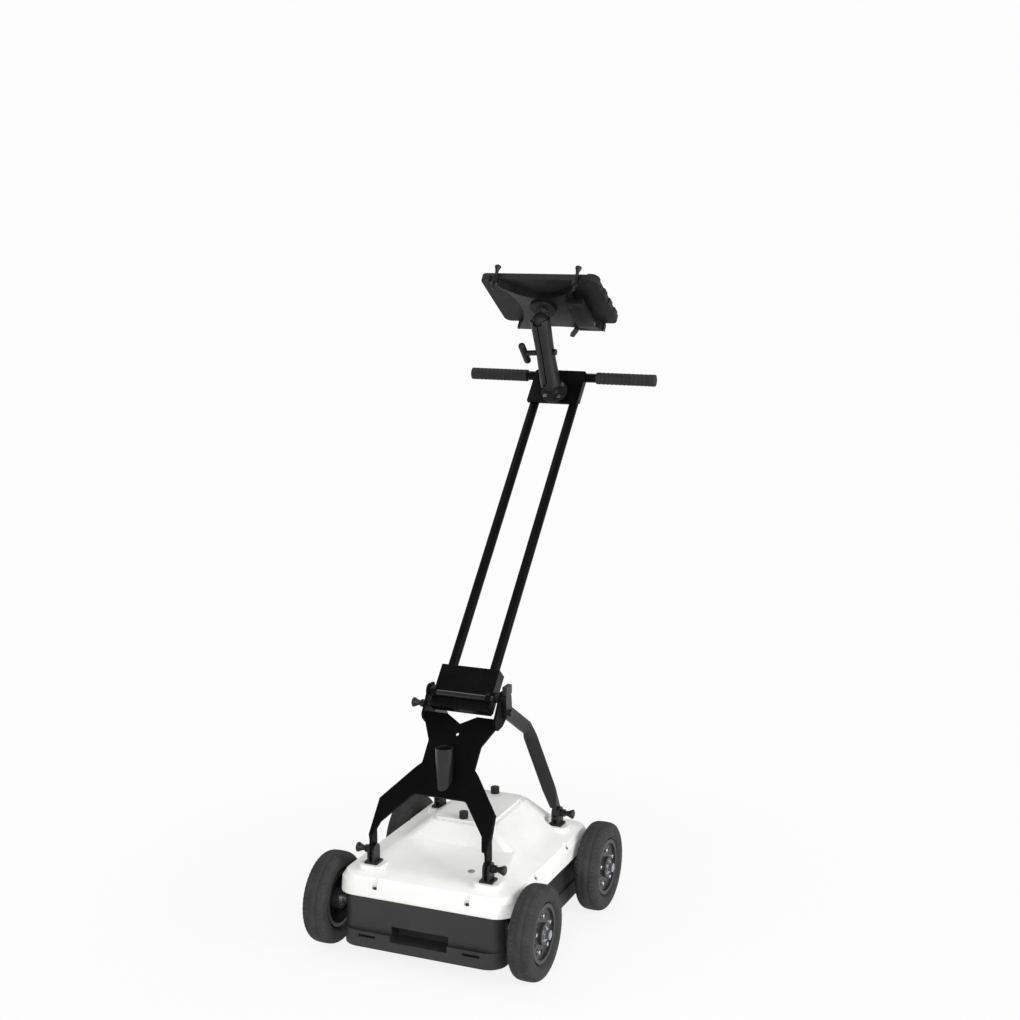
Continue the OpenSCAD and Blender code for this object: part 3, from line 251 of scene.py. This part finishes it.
def half_turn(inward):
    """Directions [u, xy] through half a turn, with the middle one pointing inward."""
    turn = math.atan2(inward[1], inward[0]) + np.linspace(-math.pi / 2, math.pi / 2, WALL_STEPS)
    return np.stack([np.cos(turn), np.sin(turn)], -1)


def at_lengths(line, length, wanted):
    """A line of values [u, xy], known at the given lengths along a path, read off at the wanted lengths."""
    return np.stack([np.interp(wanted, length, column) for column in line.T], -1)


def places_of(solid):
    """The points of a solid as an array [point, xyz]."""
    flat = np.empty(3 * len(solid.data.vertices))
    solid.data.vertices.foreach_get("co", flat)
    return flat.reshape(-1, 3)


def cover_height(x, y):
    """Height at which a line dropped from 1 m up meets the cover's outer face."""
    return nodes["deck_cover"].ray_cast((x, y, 1.0), (0, 0, -1))[1][2]


# Lines dropped on the cover need the solids as they now stand, with their edges rounded.
bpy.context.view_layer.update()
screws = places_of(nodes["cover_screws"])
screw_middle = (screws.max(0) + screws.min(0)) / 2
screw_reach = (screws.max(0) - screws.min(0)) / 2
well_walls = []
for axis, row in ((1, "end"), (0, "side")):
    for signs in CORNERS:
        offset = (screws - screw_middle)[:, :2] * signs
        screw = screws[np.all(offset > 0, 1) & (offset[:, axis] > WELL_ROW_SHARE * screw_reach[axis])]
        well_centre = (screw.max(0) + screw.min(0))[:2] / 2
        well_turn = half_turn(-np.eye(2)[axis] * signs)
        well_floor = screw[:, 2].min()
        well_walls.append(wall(well_centre + WELL_RADIUS * well_turn, well_turn, well_floor,
                               well_floor + WELL_HEIGHTS[row]))
surface("screw_wells", well_walls, cover_abs, "chassis")

seat_walls = []
for foot, inward in (("rear_left_clevis", (1, 0)), ("rear_right_clevis", (-1, 0))):
    foot_low, foot_high = np.array(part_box(foot))
    seat_turn = half_turn(inward)
    # Rounding makes the ends of the half turn exactly 0 across, so that they stay on the foot's middle line.
    seat_corners = np.sign(seat_turn.round(6)) * (SEAT_HALVES - SEAT_CORNER)
    seat_edge = (foot_low + foot_high)[:2] / 2 + seat_corners + (SEAT_CORNER + SEAT_CLEAR) * seat_turn
    length = np.append(0, np.cumsum(np.linalg.norm(np.diff(seat_edge, axis=0), axis=1)))
    wanted = np.linspace(0, length[-1], SEAT_STEPS)
    seat_edge = at_lengths(seat_edge, length, wanted)
    seat_turn = at_lengths(seat_turn, length, wanted)
    slope = np.array([cover_height(*place) for place in seat_edge + SHEET * seat_turn])
    seat_bottom = foot_low[2] - SEAT_SINK
    seat_top = np.maximum(slope - SLOPE_COVER, seat_bottom + SHEET)
    seat_walls.append(wall(seat_edge, seat_turn, seat_bottom, seat_top))
surface("foot_seats", seat_walls, cover_abs, "chassis")

# The plug in the cover
# A grey rubber plug that closes a hole beside the right front foot.
# It is moulded with a low domed head and pressed in from above.
PLUG_PLACE = np.array([78, -160]) * MM
PLUG_RADIUS = 8 * MM
PLUG_RISE = 3 * MM
DOME_RINGS = 10
DOME_STEPS = 48
# The rings stop just short of a quarter turn, and a small flat cap closes the top.
DOME_END = 0.46 * math.pi
# Grey rubber: dull and slightly chalky, against the gloss of the cover.
plug_rubber = finish_of("Grey plug rubber", "#7d7d7c", 0.6, grain_mm=0.8, grain_depth_mm=0.03,
                        tone_mm=6, tone=0.05, second="#8a8a88")


def dome(seat, radius, rise):
    """A low dome: rings whose radius shrinks as the cosine of a quarter turn, and whose height grows as its
    sine."""
    quarter = np.linspace(0, DOME_END, DOME_RINGS)[:, None]
    turn = np.linspace(0, 2 * math.pi, DOME_STEPS, endpoint=False)[None, :]
    x = seat[0] + radius * np.cos(quarter) * np.cos(turn)
    y = seat[1] + radius * np.cos(quarter) * np.sin(turn)
    # A ring has one height, and 0 * turn gives it at each of the ring's steps.
    z = seat[2] + rise * np.sin(quarter) + 0 * turn
    return np.stack([x, y, z], -1)


# Half way between the axles, along the cart.
axle_y = np.mean([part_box("stub_axles")[0][1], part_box("stub_axles")[1][1]])
plug_x, plug_y = PLUG_PLACE + [0, axle_y]
plug_seat = (plug_x, plug_y, cover_height(plug_x, plug_y))
plug = surface("cover_plug", [dome(plug_seat, PLUG_RADIUS, PLUG_RISE)], plug_rubber, "chassis", smooth=True)

# Axles, bearings and nuts
# Stub axles turned from steel and bolted to the sides of the tub, with a ball bearing pressed on each.
# A plated nut holds every wheel, and the rear left axle carries the black distance encoder.

# Turned steel: bright grey with a soft streak of light; its turning marks are too fine to draw.
steel = finish_of("Turned steel", "#a9adb1", 0.34, tone_mm=8, tone=0.08, Metallic=1.0)
# Zinc plate that has dulled: paler spots of light that drift from sharp to cloudy.
zinc = finish_of("Dull zinc plate", "#a6a9ad", 0.34, tone_mm=5, tone=0.1, Metallic=1.0)
dress(steel, "stub_axles", "wheel_bearings", edge_mm=0.4)
dress(zinc, "axle_nuts", edge_mm=0.5)
dress(knob_plastic, "wheel_encoder", edge_mm=0.6)

# The wheels
# Tyres of grey-black rubber on black nylon rims, each rim in two halves held by a ring of plated bolts.
# Two zigzag lines run round the tread, and short slanted cuts, the sipes, cross its shoulders.
WHEELS = ("front_left", "front_right", "rear_left", "rear_right")
# Nylon with glass fibre: the fibres give it a grey, mottled cast and a half-dull sheen.
rim_nylon = finish_of("Black glass-filled nylon", "#29292a", 0.45, grain_mm=1.1, grain_depth_mm=0.05,
                      tone_mm=14, tone=0.08, second="#343434", worn="#505052", worn_mm=0.8, **{SHEEN: 0.4})
# Rubber from a rough mould: dull, with dusty lighter patches and no clear highlight.
tyre_rubber = finish_of("Moulded tyre rubber", "#2c2b2c", 0.75, grain_mm=0.8, grain_depth_mm=0.05,
                        tone_mm=28, tone=0.08, second="#3c3b3a", **{SHEEN: 0.28})
dress(rim_nylon, *("rim_" + wheel for wheel in WHEELS), edge_mm=0.8)


def ramp(value, low, high):
    """Smooth step from 0 at low to 1 at high."""
    t = np.clip((value - low) / (high - low), 0, 1)
    return t * t * (3 - 2 * t)


SIPES = 54
TYRE_STEPS = 8 * SIPES
SECTION_STEPS = 72
# A power of 1 makes the section an ellipse, and a smaller one squares it.
SECTION_POWER = 0.6
# The tyre's bead, where it sits on the rim, and the stretch of the section over which it narrows to that.
BEAD_HALF = 18 * MM
BEAD_RADIUS = 59 * MM
NECK_START, NECK_END = 0.1, 1.0
# The tread fades in between these depths below its crown.
TREAD_FOOT, TREAD_TOP = 12 * MM, 5 * MM
TREAD_DEPTH = 2.2 * MM
# A zigzag line: its distance from the tread's middle, its swing, and the half widths of its floor and mouth.
LINE_PLACE, LINE_SWING = 8.5 * MM, 1.3 * MM
LINE_FLOOR, LINE_MOUTH = 0.9 * MM, 1.9 * MM
# A sipe: the half widths of its floor and mouth and its slant per metre, as shares of the pitch.
SIPE_FLOOR, SIPE_MOUTH, SIPE_SLANT = 0.1, 0.2, 18
# Its depth as a share of the tread's, and the distances from the tread's middle over which it starts.
SIPE_SHARE = 0.8
SHOULDER_START, SHOULDER_FULL = 12 * MM, 14 * MM
# A fine ring in each side wall: its depth, its drop from the crown, and its half widths as for the line.
RING_DEPTH, RING_DROP = 0.5 * MM, 19 * MM
RING_FLOOR, RING_MOUTH = 0.5 * MM, 1.5 * MM


def tyre_points(low, high):
    """A rounded box narrowing to the bead, carried round the axle: its height and width follow powers of a
    cosine and a sine. Zigzag lines and sipes sink the tread, and a ring sinks each side wall."""
    middle = (np.array(low) + np.array(high)) / 2
    radius = (high[2] - low[2]) / 2
    half = (high[0] - low[0]) / 2
    u = np.linspace(0, 2 * math.pi, TYRE_STEPS, endpoint=False)[:, None]
    v = np.linspace(-math.pi, math.pi, SECTION_STEPS, endpoint=False)[None, :]
    c, s = np.cos(v), np.sin(v)
    waist = (radius - BEAD_RADIUS) / 2
    reach = radius - waist + waist * np.sign(c) * np.abs(c) ** SECTION_POWER
    narrow = 1 - (1 - BEAD_HALF / half) * ramp(-c, NECK_START, NECK_END)
    across = half * np.sign(s) * np.abs(s) ** SECTION_POWER * narrow
    side = np.abs(across)
    pitch = u * SIPES / (2 * math.pi)
    zigzag = LINE_SWING * np.abs(pitch % 1 * 2 - 1)
    line = 1 - ramp(np.abs(side - LINE_PLACE - zigzag), LINE_FLOOR, LINE_MOUTH)
    sipe = 1 - ramp(np.abs((pitch + SIPE_SLANT * side) % 1 - 0.5), SIPE_FLOOR, SIPE_MOUTH)
    sipe = sipe * ramp(side, SHOULDER_START, SHOULDER_FULL)
    tread = ramp(reach, radius - TREAD_FOOT, radius - TREAD_TOP)
    ring = 1 - ramp(np.abs(reach - radius + RING_DROP), RING_FLOOR, RING_MOUTH)
    ring = RING_DEPTH * ring * (side > BEAD_HALF)
    reach = reach - TREAD_DEPTH * tread * np.maximum(line, SIPE_SHARE * sipe)
    x = middle[0] + across - np.sign(across) * ring + 0 * u
    return np.stack([x, middle[1] + reach * np.cos(u), middle[2] + reach * np.sin(u)], -1)


BOLT_RING = 39 * MM
BOLT_COUNT = 5
BOLT_START = 0.3
# How far the face under the heads lies from the wheel's middle.
BOLT_FACE = 15 * MM
BOLT_SIZE = 5.0 * MM
# Radius and height of each ring of a head, in bolt sizes: washer, hexagon and chamfered crown.
BOLT_PROFILE = np.array([[1.35, 0.0], [1.35, 0.25], [1.0, 0.25], [1.0, 0.9], [0.86, 1.05]]) * BOLT_SIZE


def bolt_heads(middle, side):
    """Hexagon heads at even turns round the axle [bolt, ring, corner, xyz]: each ring of the profile has six
    corners about the middle of its bolt."""
    turn = (np.arange(BOLT_COUNT) * 2 * math.pi / BOLT_COUNT + BOLT_START)[:, None, None]
    corner = np.arange(6) * math.pi / 3
    y = middle[1] + BOLT_RING * np.cos(turn) + BOLT_PROFILE[:, :1] * np.cos(corner)
    z = middle[2] + BOLT_RING * np.sin(turn) + BOLT_PROFILE[:, :1] * np.sin(corner)
    x = middle[0] + side * BOLT_FACE + side * BOLT_PROFILE[:, 1:] + 0 * y
    return np.stack([x, y, z], -1)


for wheel in WHEELS:
    tyre_low, tyre_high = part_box("tyre_" + wheel)
    tyre = surface("tread_" + wheel, [tyre_points(tyre_low, tyre_high)], tyre_rubber, "wheel_" + wheel,
                   around=True, smooth=True)
    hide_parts("tyre_" + wheel)
    wheel_side = 1 if tyre_low[0] > 0 else -1
    wheel_middle = (np.array(tyre_low) + np.array(tyre_high)) / 2
    heads = surface("rim_bolts_" + wheel, bolt_heads(wheel_middle, wheel_side), zinc, "wheel_" + wheel)

# The frame
# A front plate folded from 6 mm steel sheet, two bent bars behind it and four forked feet, all powder coated.
# Bolts and a hinge rod join them, and a short tube on the plate takes a pole.

# Powder baked on sheet: deep black with hardly any shine, a faint orange-peel, and edges thinned to grey.
powder_coat = finish_of("Black powder coat", "#030304", 0.5, grain_mm=1.6, grain_depth_mm=0.05,
                        tone_mm=50, tone=0.05, second="#060607", worn="#323234", **{SHEEN: 0.07})
dress(powder_coat, "front_plate", edge_mm=0.8)
# The same powder with more gloss and a lighter colour. The gloss is real, but the lighter colour is painted
# light: it stands in for the light that the flats of the bars and feet catch where they face the lamps.
powder_coat_painted_lit = finish_of("Half-gloss black coat with painted light", "#101011", 0.42, grain_mm=1.6, grain_depth_mm=0.05,
                     tone_mm=40, tone=0.06, second="#151516", worn="#3a3a3c", **{SHEEN: 0.34})
dress(powder_coat_painted_lit, "rear_leg_left", "rear_leg_right", edge_mm=0.8)
dress(powder_coat_painted_lit, *(wheel + "_clevis" for wheel in WHEELS), edge_mm=0.8)
# Drawn tube with a smooth black paint: a narrow bright streak along its length.
tube_gloss = finish_of("Glossy black tube", "#131314", 0.22, tone_mm=25, tone=0.05, second="#19191a",
                       **{SHEEN: 0.42})
dress(tube_gloss, "pole_holder", edge_mm=0.5)
dress(black_zinc, "hinge_rod", "frame_bolts", edge_mm=0.5)

# The locking pins
# Spring plungers of steel, each with a flared knob of black nylon moulded on its end.
# Each slides in a threaded sleeve of blackened steel, screwed into its foot or into the cheek of the plate.
PLUNGERS = [wheel + "_plunger" for wheel in WHEELS] + ["handle_plunger"]
dress(knob_plastic, *PLUNGERS, edge_mm=0.5)
dress(black_zinc, "plunger_sleeves", edge_mm=0.4)

# The handle
# Two drawn aluminium tubes in a folding bracket, with a sheet plate, a cross bar and ribbed grips at the top.
# The latch bar across the bracket is glossy tube; all the rest but the rubber grips is coated in satin black.

# Satin coating on aluminium: deep black, with a thin sheen along tubes and folds.
satin_black = finish_of("Satin black coating", "#050506", 0.34, grain_mm=1.2, grain_depth_mm=0.03,
                        tone_mm=40, tone=0.05, second="#080809", worn="#303032", **{SHEEN: 0.09})
dress(satin_black, "handle_bracket", "top_plate", edge_mm=1.0)
dress(tube_gloss, "latch_bar", edge_mm=0.6)
dress(satin_black, "handle_tube_left", "handle_tube_right", "handlebar", edge_mm=0.4)
# Soft rubber, moulded with its ribs: an even dark grey that hardly shines.
grip_rubber = finish_of("Ribbed grip rubber", "#242425", 0.72, grain_mm=0.8, grain_depth_mm=0.04,
                        tone_mm=18, tone=0.06, second="#2c2c2c", **{SHEEN: 0.25})
dress(grip_rubber, "grip_left", "grip_right", edge_mm=0.5)

# The clamp arm
# Two die-cast aluminium halves, powder coated, grip a rubber-coated ball at each end.
# One bolt and its cross-bar knob draw them together; four plated bolts hold the lower ball to the top plate.

# Powder over a casting: slightly pebbled, half dull, and rubbed to grey along its rims.
cast_black = finish_of("Coated die casting", "#0f0f10", 0.42, grain_mm=1.4, grain_depth_mm=0.05,
                       tone_mm=30, tone=0.06, second="#141415", worn="#4c4c4e", **{SHEEN: 0.32})
dress(cast_black, "arm_half_left", "arm_half_right", edge_mm=1.2, segments=3)
# Rubber moulded over a ball: dull black with one wide, faint highlight.
ball_rubber = finish_of("Ball coating", "#141415", 0.6, grain_mm=0.6, grain_depth_mm=0.03,
                        tone_mm=12, tone=0.06, second="#1b1b1c", **{SHEEN: 0.3})
dress(ball_rubber, "ball_base", "cradle_ball", edge_mm=0.8)
dress(zinc, "ball_base_bolts", edge_mm=0.5)
dress(black_zinc, "arm_bolt", edge_mm=0.5)
dress(knob_plastic, "arm_knob", edge_mm=0.6)

# The tablet and its cradle
# A hardened tablet in a rubber-coated case, its screen towards the operator.
# An hourglass cradle moulded in nylon holds it by two thumb screws and a lever.

# Nylon from a finely etched mould: half-gloss black, with light along its ribs and rubbed corners.
cradle_nylon = finish_of("Moulded cradle nylon", "#0f0f10", 0.32, grain_mm=1.0, grain_depth_mm=0.05,
                         tone_mm=25, tone=0.08, second="#161616", worn="#444446", **{SHEEN: 0.36})
dress(cradle_nylon, "cradle", edge_mm=1.6, segments=3)
dress(knob_plastic, "clamp_screw_left", "clamp_screw_right", "cradle_lever", edge_mm=0.5)
# A rubbery coat on a moulded case: soft dark grey, with rubbed corners.
case_rubber = finish_of("Rubberised tablet case", "#141415", 0.55, grain_mm=0.8, grain_depth_mm=0.04,
                        tone_mm=30, tone=0.06, second="#1c1c1d", worn="#3c3c3d", **{SHEEN: 0.26})
dress(case_rubber, "tablet_body", edge_mm=3.0, segments=4)
dress(case_rubber, "tablet_power_key", edge_mm=0.5)
# Glass over a dark display: nearly black, with clear reflections that faint smears blur a little.
screen_glass = finish_of("Dark screen glass", "#060708", 0.06, tone_mm=35, tone=0.03, second="#08090b",
                         IOR=1.52)
dress(screen_glass, "tablet_screen", edge_mm=0.2)

# The flaps of the tablet's case
# Rubber flaps, moulded like the case, close the sockets along its right side.
# A thicker pad of the same rubber is wrapped round that side's upper corner.
CASE_RADIUS = 16 * MM
PAD_OUT = 3.2 * MM
PAD_OVER = 1.2 * MM
PAD_LEG = 8 * MM
PAD_LENGTH = 24 * MM
PAD_PLACES = np.array([26, -16, -58]) * MM
LEG_STEPS, CORNER_STEPS = 6, 14
PAD_STEPS = LEG_STEPS + CORNER_STEPS + LEG_STEPS
PAD_SECTION_STEPS = 24
# Powers that square the section: across the case's edge, and along its thickness.
PAD_POWER_OUT, PAD_POWER_UP = 0.6, 0.4
# A pad keeps its full size along most of its length, then falls off quickly, and is cut just before its tip.
TAPER_POWER, TAPER_CUT = 8, 0.97


def edge_pad(centre, turn, slide, half_thick):
    """A rounded box that tapers at both ends, carried along the case's edge: the edge turns about a corner's
    centre and slides along its straight stretches. Depth and rise follow powers of a cosine and a sine."""
    outward = np.stack([np.cos(turn), np.sin(turn)], -1)
    along = np.stack([-np.sin(turn), np.cos(turn)], -1)
    path = centre + CASE_RADIUS * outward + slide[:, None] * along
    taper = np.sqrt(1 - np.linspace(-TAPER_CUT, TAPER_CUT, len(turn)) ** TAPER_POWER)[:, None]
    v = np.linspace(0, 2 * math.pi, PAD_SECTION_STEPS, endpoint=False)[None, :]
    c, s = np.cos(v), np.sin(v)
    depth = PAD_OUT * taper * np.sign(c) * np.abs(c) ** PAD_POWER_OUT
    rise = (half_thick - PAD_OVER + 2 * PAD_OVER * taper) * np.sign(s) * np.abs(s) ** PAD_POWER_UP
    flat = path[:, None, :] + outward[:, None, :] * depth[..., None]
    return np.concatenate([flat, rise[..., None]], -1)


# The case's own axes: across, up along its back, and out of its back, which is its largest face.
case_back = np.array(max(nodes["tablet_body"].data.polygons, key=lambda face: face.area).normal)
case_across = np.array([1.0, 0.0, 0.0])
case_up = np.cross(case_back, case_across)
case_axes = np.stack([case_across, case_up * np.sign(case_up[2]), case_back])
spans = places_of(nodes["tablet_body"]) @ case_axes.T
case_middle = (spans.max(0) + spans.min(0)) / 2
case_half = (spans.max(0) - spans.min(0)) / 2
corner_turn = np.concatenate([np.zeros(LEG_STEPS), np.linspace(0, math.pi / 2, CORNER_STEPS),
                              np.full(LEG_STEPS, math.pi / 2)])
corner_slide = np.concatenate([np.linspace(-PAD_LEG, 0, LEG_STEPS), np.zeros(CORNER_STEPS),
                               np.linspace(0, PAD_LEG, LEG_STEPS)])
flap_turn = np.zeros(PAD_STEPS)
flap_slide = np.linspace(-0.5, 0.5, PAD_STEPS) * PAD_LENGTH
pads = [edge_pad(case_half[:2] - CASE_RADIUS, corner_turn, corner_slide, case_half[2])]
for place in PAD_PLACES:
    pads.append(edge_pad(np.array([case_half[0] - CASE_RADIUS, place]), flap_turn, flap_slide, case_half[2]))
case_pads = surface("case_pads", [(pad + case_middle) @ case_axes for pad in pads], case_rubber, "tablet",
                    smooth=True)

# The studio
# A white sweep of paper and large soft lamps: one by the camera, one from the right, a weaker one overhead.
# The camera stands off the cart's front right corner, about 1.6 m above the ground.
EYE = np.array([1449.4, -3196.0, 1573.7]) * MM + [0, axle_y, 0]
AIM = np.array([-137.81, 560.02, 836.79]) * MM + [0, axle_y, 0]
FOCAL_MM = 58.766
SENSOR_MM = 36.0
FAR_CLIP = 100.0

camera = bpy.data.objects.new("Camera", bpy.data.cameras.new("Camera"))
bpy.context.scene.collection.objects.link(camera)
camera.data.lens = FOCAL_MM
camera.data.sensor_width = SENSOR_MM
camera.data.clip_end = FAR_CLIP


def facing(position, target):
    """Turn that points an object's -Z from position to target, with its Y kept upright: a tilt by the line's
    angle from the vertical, then a turn to its bearing."""
    away = np.array(position) - np.array(target)
    return (math.acos(away[2] / np.linalg.norm(away)), 0.0, math.atan2(away[0], -away[1]))


camera.location = EYE
camera.rotation_euler = facing(EYE, AIM)
bpy.context.scene.camera = camera

# White paper: plain white to the eye and in reflections, with a soft shadow that is kept near the cart.
# Its own white grows from NEAR_WHITE to full between two distances from the cart's middle, in metres.
FADE_START, FADE_END = 0.3, 1.1
NEAR_WHITE = 0.86
FLOOR_HALF = 25.0
paper = bpy.data.materials.new("White paper")
paper.use_nodes = True
paper_tree = paper.node_tree
paper_tree.nodes.clear()
ray = add(paper_tree, "LightPath").outputs
mirrored = add(paper_tree, "Math", {"operation": "MAXIMUM"},
               links={0: ray["Is Camera Ray"], 1: ray["Is Glossy Ray"]})
seen = add(paper_tree, "Math", {"operation": "MAXIMUM"},
           links={0: mirrored.outputs[0], 1: ray["Is Transmission Ray"]})
distance = add(paper_tree, "VectorMath", {"operation": "LENGTH"},
               links={0: add(paper_tree, "TexCoord").outputs["Object"]})
fade = add(paper_tree, "MapRange", {"interpolation_type": "SMOOTHSTEP"},
           {"From Min": FADE_START, "From Max": FADE_END, "To Min": NEAR_WHITE, "To Max": 1.0},
           {"Value": distance.outputs["Value"]})
white_share = add(paper_tree, "Math", {"operation": "MULTIPLY"},
                  links={0: seen.outputs[0], 1: fade.outputs["Result"]})
shaded = add(paper_tree, "BsdfDiffuse", values={"Color": linear("#f0f0f0")})
plain = add(paper_tree, "Emission", values={"Color": linear("#fdfdfd")})
paper_blend = add(paper_tree, "MixShader",
                  links={0: white_share.outputs[0], 1: shaded.outputs[0], 2: plain.outputs[0]})
add(paper_tree, "OutputMaterial", links={"Surface": paper_blend.outputs[0]})
floor_mesh = bpy.data.meshes.new("Floor")
floor_corners = [(x * FLOOR_HALF, y * FLOOR_HALF, 0) for x, y in ((-1, -1), (1, -1), (1, 1), (-1, 1))]
floor_mesh.from_pydata(floor_corners, [], [(0, 1, 2, 3)])
floor_mesh.materials.append(paper)
floor = bpy.data.objects.new("Floor", floor_mesh)
bpy.context.scene.collection.objects.link(floor)

# The room behind the paper: as white to the eye, and a dim even light for everything else.
ROOM_LIGHT = 0.42
world = bpy.data.worlds.new("Studio")
bpy.context.scene.world = world
world.use_nodes = True
room_tree = world.node_tree
room_tree.nodes.clear()
room_ray = add(room_tree, "LightPath").outputs
room_seen = add(room_tree, "Math", {"operation": "MAXIMUM"},
                links={0: room_ray["Is Camera Ray"], 1: room_ray["Is Transmission Ray"]})
dim = add(room_tree, "Background", values={"Color": linear("#ffffff"), "Strength": ROOM_LIGHT})
white = add(room_tree, "Background", values={"Color": linear("#fdfdfd"), "Strength": 1.0})
room_blend = add(room_tree, "MixShader",
                 links={0: room_seen.outputs[0], 1: dim.outputs[0], 2: white.outputs[0]})
add(room_tree, "OutputWorld", links={"Surface": room_blend.outputs[0]})

# Each lamp's name, place, aim, width and power, in metres and watts.
LAMPS = (
    ("By the camera", (0.9, -3.6, 2.0), (0, 0, 0.4), 2.4, 80),
    ("From the right", (3.4, -0.8, 1.6), (0, 0, 0.5), 2.0, 86),
    ("Overhead", (-0.8, 0.6, 3.6), (0, 0, 0.3), 2.2, 34),
)
for lamp_name, lamp_place, lamp_aim, width, power in LAMPS:
    lamp = bpy.data.objects.new(lamp_name, bpy.data.lights.new(lamp_name, "AREA"))
    lamp.data.size = width
    lamp.data.energy = power
    lamp.location = lamp_place
    lamp.rotation_euler = facing(lamp_place, lamp_aim)
    bpy.context.scene.collection.objects.link(lamp)
bpy.context.scene.view_settings.view_transform = "Standard"
